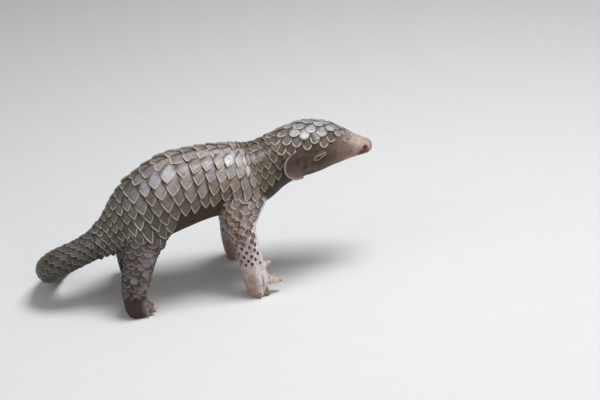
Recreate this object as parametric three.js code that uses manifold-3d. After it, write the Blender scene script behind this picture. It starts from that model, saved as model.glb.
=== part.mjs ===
// A pangolin pup, life size, standing on its four feet with its head stretched forward.
// +X points where the animal faces, +Z is up and its right side is towards -Y. Lengths are in millimetres.
// Its scales are rows of overlapping plates that step up from the body's own surface.
import * as THREE from "three";
import { mergeVertices } from "three/addons/utils/BufferGeometryUtils.js";
import Module from "manifold-3d";

const wasm = await Module();
wasm.setup();

// Where the middle of the whole animal's footprint lies, measured from the middle of its feet.
const ROW_ORIGIN_X = 16.4;
const ROW_ORIGIN_Y = 18.4;

const GAP = 0.3;
const UP = new THREE.Vector3(0, 0, 1);
const OUTWARD = new THREE.Vector3(0, -1, 0);

// The midline from the nose back to the tip of the tail: x, y, z, half width, half height.
const BODY_STATIONS = [
  [139.6, 0, 85.0, 3.2, 3.0],
  [136.8, 0, 85.6, 5.8, 5.2],
  [128.0, 0, 87.4, 8.8, 8.2],
  [116.6, 0, 89.8, 13.0, 12.8],
  [104.2, 0, 91.8, 17.4, 17.4],
  [91.6, 0, 91.6, 19.2, 19.2],
  [79.7, 0, 89.2, 18.2, 18.8],
  [67.2, 0, 84.4, 18.4, 19.0],
  [51.0, 0, 78.6, 22.2, 22.9],
  [33.2, 0, 78.4, 24.6, 24.4],
  [15.0, 0, 77.8, 25.9, 25.8],
  [-3.2, 0, 74.8, 26.7, 27.0],
  [-20.3, 0, 67.5, 25.6, 25.2],
  [-34.5, 0, 59.5, 22.4, 21.4],
  [-46.4, 0, 52.5, 17.2, 14.9],
  [-56.7, 0, 47.7, 13.5, 10.2],
  [-67.9, 0, 42.7, 11.6, 8.5],
  [-78.7, 0.6, 38.3, 10.8, 8.6],
  [-88.4, 4.2, 33.7, 10.4, 9.2],
  [-94.8, 11.8, 27.0, 9.9, 9.1],
  [-96.8, 22.4, 19.6, 8.9, 8.2],
  [-95.6, 34.4, 12.3, 7.9, 6.7],
  [-91.2, 46.2, 7.8, 6.9, 5.7],
  [-84.2, 56.8, 5.2, 5.9, 4.9],
  [-75.4, 65.6, 4.0, 4.8, 4.1],
  [-66.4, 72.0, 3.0, 3.3, 2.9],
  [-61.0, 75.0, 2.1, 1.4, 1.3],
];

// Distances along the midline from the nose, where one part of the body passes into the next.
const NAPE = 60.0;
const WITHERS = 80.0;
const TAIL_ROOT = 206.0;
const TAIL_BEND = 244.0;
const TAIL_HOOK = 288.0;

// The plates: how far a free edge stands up, how far it reaches over the next plate, and how domed it is.
const PLATE_OVERHANG = 1.2;
const PLATE_ROUNDING = 0.13;
const PLATE_DOME = 0.22;

const BROWN_PLATE = { color: 0x8c7a6c, roughness: 0.5, metalness: 0 };
const GREY_PLATE = { color: 0x6f665f, roughness: 0.5, metalness: 0 };
const PALE_SKIN = { color: 0xc9a493, roughness: 0.62, metalness: 0 };
const FACE_SKIN = { color: 0xa78578, roughness: 0.6, metalness: 0 };
const CLAW_HORN = { color: 0xe2c3b0, roughness: 0.4, metalness: 0 };
const EYE_GLOSS = { color: 0x0c0a0a, roughness: 0.08, metalness: 0 };

const clamp01 = (value) => Math.min(1, Math.max(0, value));

// 0 below low, 1 above high and smooth between them.
const ramp = (low, high, value) => {
  const share = clamp01((value - low) / (high - low));
  return share * share * (3 - 2 * share);
};

// A bent tube of elliptical section. Its stations hold x, y, z, half width and half height, and its
// reference vector says which way angle 0 of each section faces.
class BentTube {
  constructor(stations, reference) {
    const through = (pick) => new THREE.CatmullRomCurve3(stations.map(pick), false, "catmullrom", 0.5);
    this.path = through(([x, y, z]) => new THREE.Vector3(x, y, z));
    this.radii = through(([, , , width, height]) => new THREE.Vector3(width, height, 0));
    this.reference = reference;
    const steps = 40 * stations.length;
    this.marks = [0];
    for (let k = 1; k <= steps; k++) {
      const step = this.path.getPoint(k / steps).distanceTo(this.path.getPoint((k - 1) / steps));
      this.marks.push(this.marks[k - 1] + step);
    }
    this.length = this.marks[steps];
  }

  // The curve parameter at a distance along the tube.
  parameterAt(distance) {
    const last = this.marks.length - 1;
    const sought = Math.min(Math.max(distance, 0), this.length);
    let low = 0;
    let high = last;
    while (high - low > 1) {
      const middle = (low + high) >> 1;
      if (this.marks[middle] <= sought) low = middle;
      else high = middle;
    }
    const share = (sought - this.marks[low]) / (this.marks[high] - this.marks[low]);
    return (low + share) / last;
  }

  // The centre, the axes and the half sizes of the section at a distance along the tube.
  sectionAt(distance) {
    const t = this.parameterAt(distance);
    const along = this.path.getTangent(t);
    const side = new THREE.Vector3().crossVectors(this.reference, along).normalize();
    const top = new THREE.Vector3().crossVectors(along, side);
    const size = this.radii.getPoint(t);
    return { centre: this.path.getPoint(t), along, side, top, width: size.x, height: size.y };
  }

  // A point on the tube, lifted off its surface within the section's plane and pushed along the tube.
  pointAt(section, angle, lift = 0, push = 0) {
    const sine = Math.sin(angle);
    const cosine = Math.cos(angle);
    const outward = new THREE.Vector3()
      .addScaledVector(section.top, cosine / section.height)
      .addScaledVector(section.side, sine / section.width)
      .normalize();
    return section.centre
      .clone()
      .addScaledVector(section.top, section.height * cosine)
      .addScaledVector(section.side, section.width * sine)
      .addScaledVector(outward, lift)
      .addScaledVector(section.along, push);
  }
}

// Collects triangles and hands them over as one closed geometry that faces outwards.
class TriangleBag {
  constructor() {
    this.corners = [];
  }

  polygon(points, hub) {
    points.forEach((point, k) => this.corners.push(hub, point, points[(k + 1) % points.length]));
  }

  strip(upper, lower) {
    for (let k = 0; k + 1 < upper.length; k++) {
      this.corners.push(upper[k], lower[k], lower[k + 1]);
      this.corners.push(upper[k], lower[k + 1], upper[k + 1]);
    }
  }

  geometry() {
    const soup = new THREE.BufferGeometry().setFromPoints(this.corners);
    const merged = mergeVertices(soup, 1e-3);
    const index = merged.index.array;
    const kept = [];
    for (let k = 0; k < index.length; k += 3) {
      const [a, b, c] = [index[k], index[k + 1], index[k + 2]];
      if (a !== b && b !== c && c !== a) kept.push(a, b, c);
    }
    const position = merged.attributes.position;
    const corner = (k) => new THREE.Vector3().fromBufferAttribute(position, k);
    let volume = 0;
    for (let k = 0; k < kept.length; k += 3) {
      volume += corner(kept[k]).dot(corner(kept[k + 1]).cross(corner(kept[k + 2])));
    }
    if (volume < 0) {
      for (let k = 0; k < kept.length; k += 3) [kept[k + 1], kept[k + 2]] = [kept[k + 2], kept[k + 1]];
    }
    merged.setIndex(kept);
    return merged;
  }
}

// A length of a bent tube whose surface is a diamond lattice of overlapping plates. Each cell is one
// plate: its front corner is tucked under its neighbours, its free tip points along the tube and
// stands plateAt(distance, angle) above the skin. Where that is 0 the cell is plain skin.
function platedTube(tube, { from, to, rings, around, plateAt, rounded = true, grow = 0 }) {
  const half = (ring) => (ring % 2 ? 0.5 : 0);
  const sections = [];
  for (let ring = 0; ring <= rings; ring++) {
    sections.push(tube.sectionAt(from + ((to - from) * ring) / rings));
  }
  const distanceOf = (ring) => from + ((to - from) * ring) / rings;
  const angleOf = (ring, j) => ((j + half(ring)) / around) * 2 * Math.PI;
  const corners = sections.map((section, ring) =>
    Array.from({ length: around }, (_, j) => {
      const angle = angleOf(ring, j);
      const plain = plateAt(distanceOf(ring), angle);
      const tall = plain + grow * Math.sign(plain);
      const overhang = ring < rings ? (PLATE_OVERHANG + grow) * clamp01(tall) : 0;
      return {
        tall,
        low: tube.pointAt(section, angle, grow),
        middle: tube.pointAt(section, angle, grow + 0.5 * tall),
        tip: tube.pointAt(section, angle, grow + tall, overhang),
      };
    }),
  );
  const corner = (ring, j) => corners[ring][((j % around) + around) % around];

  // The middle of a plate's free edge, from its side corner to its tip, above and below the step.
  const edgeMiddle = (side, tip, flank) => {
    const tall = (side.tall + tip.tall) / 2;
    if (!rounded || tall < 0.05) return null;
    const above = side.middle.clone().add(tip.tip).multiplyScalar(0.5);
    const below = side.low.clone().add(tip.middle).multiplyScalar(0.5);
    const bulge = below.clone().sub(flank).multiplyScalar(PLATE_ROUNDING * clamp01(tall));
    return { above: above.add(bulge), below };
  };

  const bag = new TriangleBag();
  const edgeOf = new Map();
  const key = (ring, j, which) => `${ring}:${((j % around) + around) % around}:${which}`;
  const hubOf = (ring, j) => {
    const angle = angleOf(ring, j + 0.5);
    const tall = (corner(ring, j).tall + corner(ring, j + 1).tall) / 2;
    return tube.pointAt(sections[ring], angle, grow + (0.5 + PLATE_DOME) * tall);
  };
  // The lattice column of the corner that a cell shares with the ring before or after it.
  const beside = (ring, j) => j + (ring % 2 ? 1 : 0);

  for (let ring = 0; ring < rings; ring++) {
    for (let j = 0; j < around; j++) {
      const tip = corner(ring + 1, beside(ring, j));
      const hub = hubOf(ring, j);
      for (const [which, column] of [["left", j], ["right", j + 1]]) {
        const side = corner(ring, column);
        const middle = edgeMiddle(side, tip, hub);
        edgeOf.set(key(ring, j, which), middle);
        const upper = middle ? [side.middle, middle.above, tip.tip] : [side.middle, tip.tip];
        const lower = middle ? [side.low, middle.below, tip.middle] : [side.low, tip.middle];
        if (which === "left") bag.strip(upper, lower);
        else bag.strip(lower, upper);
      }
    }
  }
  for (let ring = 0; ring <= rings; ring++) {
    for (let j = 0; j < around; j++) {
      const left = corner(ring, j);
      const right = corner(ring, j + 1);
      const outline = [left.middle];
      if (ring < rings) {
        const onLeft = edgeOf.get(key(ring, j, "left"));
        const onRight = edgeOf.get(key(ring, j, "right"));
        if (onLeft) outline.push(onLeft.above);
        outline.push(corner(ring + 1, beside(ring, j)).tip);
        if (onRight) outline.push(onRight.above);
      }
      outline.push(right.middle);
      if (ring > 0) {
        const column = beside(ring, j);
        const onRight = edgeOf.get(key(ring - 1, column, "left"));
        const onLeft = edgeOf.get(key(ring - 1, column - 1, "right"));
        if (onRight) outline.push(onRight.below);
        outline.push(corner(ring - 1, column).low);
        if (onLeft) outline.push(onLeft.below);
      }
      const hub = hubOf(ring, j);
      if (ring > 0 && ring < rings) bag.polygon(outline, hub);
      else {
        // A plate that the end of the tube cuts through its middle.
        const shown = ring === 0 ? outline : [right.middle, ...outline.slice(outline.indexOf(right.middle) + 1), left.middle];
        for (let k = 0; k + 1 < shown.length; k++) bag.corners.push(hub, shown[k], shown[k + 1]);
      }
    }
  }
  for (const ring of [0, rings]) {
    const rim = [];
    for (let j = 0; j < around; j++) rim.push(corner(ring, j).middle, hubOf(ring, j));
    if (ring === 0) rim.reverse();
    const centre = rim.reduce((sum, point) => sum.add(point), new THREE.Vector3()).divideScalar(rim.length);
    bag.polygon(rim.reverse(), centre);
  }
  return bag.geometry();
}

// A geometry as a manifold-3d solid, and back.
function toSolid(geometry) {
  const bare = new THREE.BufferGeometry().setAttribute("position", geometry.getAttribute("position"));
  if (geometry.index) bare.setIndex(geometry.index);
  const merged = mergeVertices(bare, 1e-3);
  return new wasm.Manifold(
    new wasm.Mesh({
      numProp: 3,
      vertProperties: new Float32Array(merged.attributes.position.array),
      triVerts: new Uint32Array(merged.index.array),
    }),
  );
}

function toGeometry(solid) {
  const mesh = solid.getMesh();
  const geometry = new THREE.BufferGeometry();
  geometry.setAttribute("position", new THREE.BufferAttribute(new Float32Array(mesh.vertProperties), 3));
  geometry.setIndex(new THREE.BufferAttribute(new Uint32Array(mesh.triVerts), 1));
  return geometry;
}

// The largest closed body of a solid.
const largest = (solid) =>
  solid.decompose().reduce((best, body) => (body.volume() > best.volume() ? body : best));

// Everything below the floor, to trim flat soles.
const belowFloor = toSolid(new THREE.BoxGeometry(600, 600, 100).translate(0, 0, -50));

const animal = new THREE.Group();
animal.position.set(-ROW_ORIGIN_X, -ROW_ORIGIN_Y, 0);

function place(name, geometry, finish) {
  const shaded = geometry.clone();
  shaded.computeVertexNormals();
  const mesh = new THREE.Mesh(shaded, new THREE.MeshStandardMaterial(finish));
  mesh.name = name;
  animal.add(mesh);
  return mesh;
}

// The body
const body = new BentTube(BODY_STATIONS, UP);

// The angle of a section, from 0 at the back to 180 degrees at the belly, on either side.
const fromBack = (angle) => {
  const turned = ((angle % (2 * Math.PI)) + 2 * Math.PI) % (2 * Math.PI);
  return THREE.MathUtils.radToDeg(Math.min(turned, 2 * Math.PI - turned));
};

// Where the four legs leave the trunk: distance from the nose, degrees from the back, smooth radius.
const FORE_ROOT = { distance: 100, fromBack: 114, radius: 17 };
const HIND_ROOT = { distance: 170, fromBack: 118, radius: 18 };

// 0 on the smooth skin round a leg's root and 1 clear of it.
function clearOfLegs(distance, angle) {
  return [FORE_ROOT, HIND_ROOT].reduce((share, root) => {
    const section = body.sectionAt(root.distance);
    const across = THREE.MathUtils.degToRad(fromBack(angle) - root.fromBack) * section.height;
    const reach = Math.hypot(distance - root.distance, across);
    return share * ramp(root.radius, root.radius + 4, reach);
  }, 1);
}

const TORSO_PLATE = 2.3;
const NECK_PLATE = 1.8;
const CROWN_PLATE = 1.5;
const TAIL_PLATE = 1.8;
const BELLY_EDGE = 104;
const THROAT_EDGE = 108;
const RUMP_EDGE = 182;

const torsoPlate = (distance, angle) => {
  const bare = ramp(WITHERS, WITHERS + 25, distance);
  const flank = THROAT_EDGE + (BELLY_EDGE - THROAT_EDGE) * bare;
  const edge = flank + (RUMP_EDGE - BELLY_EDGE) * ramp(148, 200, distance);
  const covered = 1 - ramp(edge, edge + 8, fromBack(angle));
  const thickness = NECK_PLATE + (TORSO_PLATE - NECK_PLATE) * bare;
  return thickness * covered * clearOfLegs(distance, angle);
};
const neckPlate = (distance, angle) => NECK_PLATE * (1 - ramp(THROAT_EDGE - 6, THROAT_EDGE + 4, fromBack(angle)));
const crownPlate = (distance, angle) => {
  const edge = 44 + 16 * ramp(12, 44, distance);
  const covered = 1 - ramp(edge - 5, edge + 6, fromBack(angle));
  return CROWN_PLATE * covered * ramp(9, 14, distance);
};
const tailPlate = (distance) => TAIL_PLATE * (1 - 0.75 * ramp(TAIL_BEND, body.length, distance));

const TORSO = { from: WITHERS + GAP, to: TAIL_ROOT, rings: 28, around: 12, plateAt: torsoPlate };
const NECK = { from: NAPE + GAP, to: WITHERS, rings: 6, around: 12, plateAt: neckPlate, rounded: false };
const HEAD = { from: 0, to: NAPE, rings: 18, around: 12, plateAt: crownPlate, rounded: false };
const TAIL_LENGTHS = [
  { name: "tail_root", from: TAIL_ROOT + GAP, to: TAIL_BEND, rings: 10, around: 8 },
  { name: "tail_middle", from: TAIL_BEND + GAP, to: TAIL_HOOK, rings: 10, around: 8 },
  { name: "tail_tip", from: TAIL_HOOK + GAP, to: body.length, rings: 12, around: 6 },
];

place("torso", platedTube(body, TORSO), BROWN_PLATE);
place("neck", platedTube(body, NECK), BROWN_PLATE);
for (const { name, ...length } of TAIL_LENGTHS) {
  const whole = toSolid(platedTube(body, { ...length, plateAt: tailPlate, rounded: false }));
  place(name, toGeometry(largest(whole.subtract(belowFloor))), GREY_PLATE);
}

// The head, with its lids, lips, mouth and nostrils
const EYE_RADIUS = 2.5;
const EYE_PLACE = new THREE.Vector3(100.4, -16.6, 90.0);
const LID_HALF_LENGTH = 4.0;
const LID_HALF_HEIGHT = 2.1;
const LID_THICKNESS = 0.95;
const NOSTRIL_RADIUS = 1.1;
const MOUTH_GROOVE = 0.6;
const LIP_THICKNESS = 1.0;

const sphere = (centre, radius) =>
  toSolid(new THREE.IcosahedronGeometry(radius, 1).translate(centre.x, centre.y, centre.z));
const mirrored = (point) => new THREE.Vector3(point.x, -point.y, point.z);

// A closed tube of even radius along a curve.
function rope(curve, radius, steps, sides) {
  const section = new THREE.Shape();
  for (let k = 0; k < sides; k++) {
    const angle = (k / sides) * 2 * Math.PI;
    if (k) section.lineTo(radius * Math.cos(angle), radius * Math.sin(angle));
    else section.moveTo(radius * Math.cos(angle), radius * Math.sin(angle));
  }
  return toSolid(new THREE.ExtrudeGeometry(section, { steps, extrudePath: curve, curveSegments: 1 }));
}

// A line on the underside of the muzzle, from one corner of the mouth round its front to the other.
function mouthCurve(lift, drop) {
  const points = [
    [19.0, 118],
    [13.0, 122],
    [7.0, 128],
    [3.4, 150],
    [3.0, 180],
  ].map(([distance, angle]) => {
    const section = body.sectionAt(distance);
    return body.pointAt(section, THREE.MathUtils.degToRad(angle + drop), lift);
  });
  const other = points.slice(0, -1).reverse().map(mirrored);
  return new THREE.CatmullRomCurve3([...points, ...other]);
}

let head = toSolid(platedTube(body, HEAD));
for (const side of [EYE_PLACE, mirrored(EYE_PLACE)]) {
  const outward = Math.sign(side.y);
  const ring = new THREE.TorusGeometry(1, LID_THICKNESS / LID_HALF_HEIGHT, 5, 12)
    .scale(LID_HALF_LENGTH, LID_HALF_HEIGHT, LID_HALF_HEIGHT)
    .rotateX(-outward * 0.1)
    .rotateY(-0.12)
    .rotateX(Math.PI / 2)
    .rotateZ(-outward * 0.28)
    .translate(side.x, side.y + outward * 1.7, side.z);
  head = head.add(toSolid(ring)).subtract(sphere(side, EYE_RADIUS + GAP));
  place(outward < 0 ? "eye_right" : "eye_left", toGeometry(sphere(side, EYE_RADIUS)), EYE_GLOSS);
  const nostril = new THREE.Vector3(138.0, outward * 2.9, 86.2);
  head = head.subtract(sphere(nostril, NOSTRIL_RADIUS));
}
head = head
  .add(rope(mouthCurve(-0.35, 7), LIP_THICKNESS, 12, 6))
  .subtract(rope(mouthCurve(0.1, 0), MOUTH_GROOVE, 12, 4));
place("head", toGeometry(largest(head)), FACE_SKIN);

// The ears: a shallow cup each, rooted on the side of the head
const EAR = { place: new THREE.Vector3(80.8, -21.6, 88.0), halfLength: 10.4, halfHeight: 9.8, depth: 3.0, thickness: 1.7 };

function earCup() {
  const rings = 4;
  const spokes = 12;
  const bag = new TriangleBag();
  // The face at share r of the way to the rim, and the back of the ear behind it.
  const at = (r, k, behind) => {
    const angle = (k / spokes) * 2 * Math.PI;
    const bowl = EAR.depth * (r * r - 0.55);
    const fold = 0.9 * Math.sin(2 * angle) * r;
    const edge = behind * EAR.thickness * Math.sqrt(Math.max(0, 1 - Math.pow(r, 6)));
    return new THREE.Vector3(EAR.halfLength * r * Math.cos(angle), bowl + fold - edge, EAR.halfHeight * r * Math.sin(angle));
  };
  for (const behind of [0, 1]) {
    for (let ring = 0; ring < rings; ring++) {
      for (let k = 0; k < spokes; k++) {
        const [inner, outer] = [ring / rings, (ring + 1) / rings];
        const quad = [at(inner, k, behind), at(outer, k, behind), at(outer, k + 1, behind), at(inner, k + 1, behind)];
        if (behind) quad.reverse();
        bag.corners.push(quad[0], quad[1], quad[2], quad[0], quad[2], quad[3]);
      }
    }
  }
  return bag
    .geometry()
    .rotateZ(Math.PI)
    .rotateZ(0.3)
    .rotateX(-0.3)
    .translate(EAR.place.x, EAR.place.y, EAR.place.z);
}

// The room that a length of the body needs, with the gap that its neighbours keep.
const roomFor = (length) => toSolid(platedTube(body, { ...length, grow: GAP })).add(toSolid(platedTube(body, length)));
const acrossMidline = (solid) => solid.mirror([0, 1, 0]);
const headRoom = roomFor(HEAD);
const neckRoom = roomFor({ ...NECK, from: NECK.from - 2 * GAP }).add(roomFor(NECK));
for (const side of ["right", "left"]) {
  const cup = toSolid(earCup());
  const ear = side === "left" ? acrossMidline(cup) : cup;
  place(`ear_${side}`, toGeometry(largest(ear.subtract(headRoom).subtract(neckRoom))), PALE_SKIN);
}

// The legs, written for the right side: x, y, z, half width across the animal's length, half depth
const FORELEG_STATIONS = [
  [46.0, -7, 80, 15.0, 7.0],
  [44.0, -13.5, 71, 17.0, 9.6],
  [39.6, -20.0, 61.5, 14.6, 9.8],
  [37.4, -24.8, 51, 11.2, 9.0],
  [39.4, -28, 41, 8.7, 8.2],
  [40.9, -30.2, 31, 8.3, 7.4],
  [42.0, -31.2, 21, 8.7, 7.2],
  [43.0, -31.8, 12, 8.4, 7.6],
  [43.2, -32, 4.5, 7.0, 6.8],
  [43.2, -32, -1.5, 4.4, 4.2],
];
const HIND_LEG_STATIONS = [
  [-19.0, -7, 70, 15.0, 7.6],
  [-23.6, -14, 61.5, 16.4, 10.0],
  [-29.4, -20.0, 52, 14.4, 10.2],
  [-33.8, -24.4, 43, 11.6, 9.4],
  [-37.0, -27.2, 34, 9.9, 8.8],
  [-40.6, -29, 24.5, 9.5, 8.4],
  [-42.4, -30, 15.5, 8.2, 8.0],
  [-42.0, -30.6, 8.5, 8.4, 8.2],
  [-41.4, -30.8, 3.5, 8.0, 7.8],
  [-41.2, -30.8, -1.5, 5.4, 5.2],
];
const LEG_PLATE = 1.2;
const ELBOW = 37;
const WRIST = 60;
const KNEE = 33;
const ANKLE = 62;

// Each toe: its heading from straight ahead, how steeply it points down, how far ahead of the foot's
// middle and how high it starts, its length, the claw's length, half thickness and downward curl.
const FORE_TOES = [
  { name: "claw_1", heading: 62, pitch: 25, height: 15, digit: 8.6, claw: 4.5, thick: 1.2, curl: 8 },
  { name: "claw_2", heading: 22, pitch: 0, height: 21, digit: 9.0, claw: 7.5, thick: 1.9, curl: -8 },
  { name: "claw_3", heading: -3, pitch: 24, height: 14.5, digit: 10.0, claw: 11.5, thick: 3.1, curl: -18 },
  { name: "claw_4", heading: -30, pitch: 48, height: 11.5, digit: 7.5, claw: 9.0, thick: 2.9, curl: 16 },
  { name: "claw_5", heading: -84, pitch: 42, height: 8.5, digit: 7.5, claw: 5.5, thick: 1.9, curl: 10 },
];
const HIND_TOES = [
  { name: "claw_1", heading: 48, pitch: 26, height: 7.5, digit: 9.4, claw: 4.2, thick: 1.5, curl: 14 },
  { name: "claw_2", heading: 23, pitch: 20, height: 7.8, digit: 10.6, claw: 5.0, thick: 1.8, curl: 16 },
  { name: "claw_3", heading: 0, pitch: 18, height: 7.9, digit: 11.2, claw: 5.4, thick: 1.9, curl: 16 },
  { name: "claw_4", heading: -23, pitch: 20, height: 7.8, digit: 10.6, claw: 5.0, thick: 1.8, curl: 16 },
  { name: "claw_5", heading: -48, pitch: 26, height: 7.5, digit: 9.4, claw: 4.2, thick: 1.5, curl: 14 },
];

// A plain closed length of a bent tube with a few flat sides, used for feet, toes and claws.
function plainTube(tube, { from = 0, to = tube.length, rings, sides, grow = 0 }) {
  const bag = new TriangleBag();
  const sections = Array.from({ length: rings + 1 }, (_, ring) => tube.sectionAt(from + ((to - from) * ring) / rings));
  const rims = sections.map((section) =>
    Array.from({ length: sides }, (_, k) => tube.pointAt(section, (k / sides) * 2 * Math.PI, grow)),
  );
  for (let ring = 0; ring < rings; ring++) {
    bag.strip([...rims[ring], rims[ring][0]], [...rims[ring + 1], rims[ring + 1][0]]);
  }
  bag.polygon(rims[0], sections[0].centre);
  bag.polygon([...rims[rings]].reverse(), sections[rings].centre);
  return toSolid(bag.geometry());
}

// How deep a claw is rooted in its toe, and how much thicker than the claw the toe's flesh is.
const CLAW_ROOT = 1.8;
const TOE_FLESH = 1.3;

// A toe, its claw and the socket that the claw sits in, from the middle of the foot.
function toeAndClaw(foot, toe) {
  const heading = THREE.MathUtils.degToRad(toe.heading);
  // The point at a distance along the toe, which starts at its pitch and then curls with the claw.
  const at = (reach) => {
    const beyond = Math.max(0, reach - toe.digit + CLAW_ROOT);
    const bend = THREE.MathUtils.degToRad(toe.pitch + (toe.curl * beyond) / (2 * toe.claw));
    const pitch = THREE.MathUtils.degToRad(toe.pitch);
    const plain = reach - beyond;
    const ahead = plain * Math.cos(pitch) + beyond * Math.cos(bend);
    const fall = plain * Math.sin(pitch) + beyond * Math.sin(bend);
    return [foot.x + ahead * Math.cos(heading), foot.y + ahead * Math.sin(heading), toe.height - fall];
  };
  const fat = toe.thick + TOE_FLESH;
  const flesh = [[...at(0), fat, fat], [...at(toe.digit * 0.6), fat, fat], [...at(toe.digit), fat * 0.8, fat * 0.8]];
  const digit = plainTube(new BentTube(flesh, UP), { rings: 2, sides: 7 });
  const start = toe.digit - CLAW_ROOT;
  const shares = [
    [0, 0.96],
    [0.35, 0.98],
    [0.68, 0.68],
    [1, 0.2],
  ];
  const clawFrom = (lead, sides, grow) => {
    const stations = shares.map(([share, size], k) => {
      const reach = start - (k ? 0 : lead) + share * toe.claw;
      return [...at(reach), size * toe.thick, size * toe.thick * 1.05];
    });
    return plainTube(new BentTube(stations, UP), { rings: 4, sides, grow });
  };
  return { digit, claw: clawFrom(0, 6, 0), socket: clawFrom(GAP, 6, GAP) };
}

const torsoRoom = roomFor(TORSO);
const legPlate = (full) => (distance, angle) => {
  const covered = 1 - ramp(70, 92, fromBack(angle));
  return LEG_PLATE * covered * ramp(13, 19, distance) * (1 - ramp(full - 14, full - 6, distance));
};

// One leg in three lengths with its toes and claws. The stride moves the foot, and less of the leg
// above it, forwards.
function leg(stations, { names, bends, toes, side, stride }) {
  const [upperName, lowerName, footName] = names;
  const striding = stations.map(([x, y, z, ...sizes]) => [x + stride * clamp01((75 - z) / 75), y, z, ...sizes]);
  const tube = new BentTube(striding, OUTWARD);
  const plateAt = legPlate(bends[1] + 8);
  const lattice = { around: 8, plateAt, rounded: false };
  const onSide = (solid) => (side === "left" ? acrossMidline(solid) : solid);
  const upper = onSide(toSolid(platedTube(tube, { ...lattice, from: 0, to: bends[0], rings: 8 })));
  place(`${upperName}_${side}`, toGeometry(largest(upper.subtract(torsoRoom))), PALE_SKIN);
  const lower = onSide(toSolid(platedTube(tube, { ...lattice, from: bends[0] + GAP, to: bends[1], rings: 8 })));
  place(`${lowerName}_${side}`, toGeometry(lower), PALE_SKIN);
  let foot = plainTube(tube, { from: bends[1] + GAP, rings: 5, sides: 10 });
  const middle = tube.sectionAt(bends[1] + 14).centre;
  const claws = [];
  for (const toe of toes) {
    const made = toeAndClaw(middle, toe);
    foot = foot.add(made.digit);
    claws.push([toe.name, made.claw.subtract(belowFloor), made.socket]);
  }
  foot = largest(claws.reduce((rest, [, , socket]) => rest.subtract(socket), foot.subtract(belowFloor)));
  place(`${footName}_${side}`, toGeometry(onSide(foot)), PALE_SKIN);
  for (const [name, claw] of claws) place(`${footName}_${side}_${name}`, toGeometry(onSide(claw)), CLAW_HORN);
}

for (const [side, foreStride, hindStride] of [["right", 0, 0], ["left", -5, 4]]) {
  leg(FORELEG_STATIONS, {
    names: ["upper_arm", "forearm", "forepaw"],
    bends: [ELBOW, WRIST],
    toes: FORE_TOES,
    side,
    stride: foreStride,
  });
  leg(HIND_LEG_STATIONS, {
    names: ["thigh", "shank", "hind_foot"],
    bends: [KNEE, ANKLE],
    toes: HIND_TOES,
    side,
    stride: hindStride,
  });
}

export default animal;
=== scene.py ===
"""A pangolin pup as a still, life-size model, dressed over its CAD frame.

One skin stands for all the flesh. Scales, claws and eyes are pieces of their own over it.
Shapes are worked out in millimetres from the middle of the four feet and put into the row frame
when their meshes are made: +X is where the animal faces, +Z is up, its right side is towards -Y.
"""

import logging
import math
from dataclasses import dataclass
from enum import Enum
from typing import Callable, Sequence

import bmesh
import bpy
import numpy as np
from mathutils import Matrix, Vector


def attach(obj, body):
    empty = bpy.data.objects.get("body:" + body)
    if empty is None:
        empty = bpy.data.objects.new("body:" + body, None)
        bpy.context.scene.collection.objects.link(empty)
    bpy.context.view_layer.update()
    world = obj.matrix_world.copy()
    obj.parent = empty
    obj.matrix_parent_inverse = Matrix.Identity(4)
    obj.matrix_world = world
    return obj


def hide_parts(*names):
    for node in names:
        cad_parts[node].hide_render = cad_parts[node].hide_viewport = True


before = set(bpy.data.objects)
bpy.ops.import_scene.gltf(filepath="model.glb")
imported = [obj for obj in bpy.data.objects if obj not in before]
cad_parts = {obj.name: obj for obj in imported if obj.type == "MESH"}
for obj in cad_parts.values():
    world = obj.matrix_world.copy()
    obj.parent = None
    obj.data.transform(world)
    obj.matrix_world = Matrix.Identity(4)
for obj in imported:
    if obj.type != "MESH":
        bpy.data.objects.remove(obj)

Array = np.ndarray
Colour = tuple[float, float, float]
Mesh = bpy.types.Mesh
Piece = bpy.types.Object
Material = bpy.types.Material
Tree = bpy.types.NodeTree
Node = bpy.types.Node
Socket = bpy.types.NodeSocket
Inputs = dict[str | int, object]
Rule = Callable[[Array, Array], Array]
Tint = Callable[[Array, Array, np.random.Generator], Array]

LOG = logging.getLogger("pangolin")
MILLIMETRE = 0.001
ROW_ORIGIN = np.array([16.4, 18.4, 0.0])
BODY = "root"
RIGHT = -1.0
LEFT = 1.0
MIRROR = [1.0, -1.0, 1.0]
OFF_FLOOR = 0.03
CLAW_OFF_FLOOR = 0.05


class Slot(Enum):
    """The record's material slots."""

    BODY_SCALES = "body_scales"
    TAIL_SCALES = "tail_scales"
    SKIN = "skin"
    CLAW = "claw"
    EYE = "eye"


def ramp(low: float, high: float, value: Array) -> Array:
    """A smooth step: 0 below low, 1 above high, 3s^2 - 2s^3 of the share s between them.

    Args:
        low: where the step starts.
        high: where it ends.
        value: the values to grade.

    Returns:
        The grades, from 0 to 1.
    """
    share = np.clip((np.asarray(value, float) - low) / (high - low), 0.0, 1.0)
    return share * share * (3.0 - 2.0 * share)


def hump(centre: float, width: float, value: Array) -> Array:
    """A bell curve, exp(-((value - centre) / width)^2)."""
    return np.exp(-(((value - centre) / width) ** 2))


def unit(vectors: Array) -> Array:
    """The vectors divided by their own lengths."""
    return vectors / np.maximum(np.linalg.norm(vectors, axis=-1, keepdims=True), 1e-9)


def plain(tone: Colour, count: int) -> Array:
    """The same colour for each of so many points."""
    return np.tile(np.array(tone, float), (count, 1))


def laid(colour: Array, *coats: tuple[Array | Colour, Array]) -> Array:
    """The colours with tones laid over them: each is colour + (tone - colour) * share."""
    for tone, share in coats:
        share = np.asarray(share, float)[..., None]
        colour = colour + (np.asarray(tone, float) - colour) * share
    return colour


def mirrored(points: Array, side: float) -> Array:
    """Points of one side of the animal as if they lay on its right, or the other way about."""
    return points if side == RIGHT else points * MIRROR


def folded(points: Array) -> Array:
    """Points of both sides of the animal laid together, with y as a plain distance."""
    return np.abs(points * [0, 1, 0]) + points * [1, 0, 1]


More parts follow.
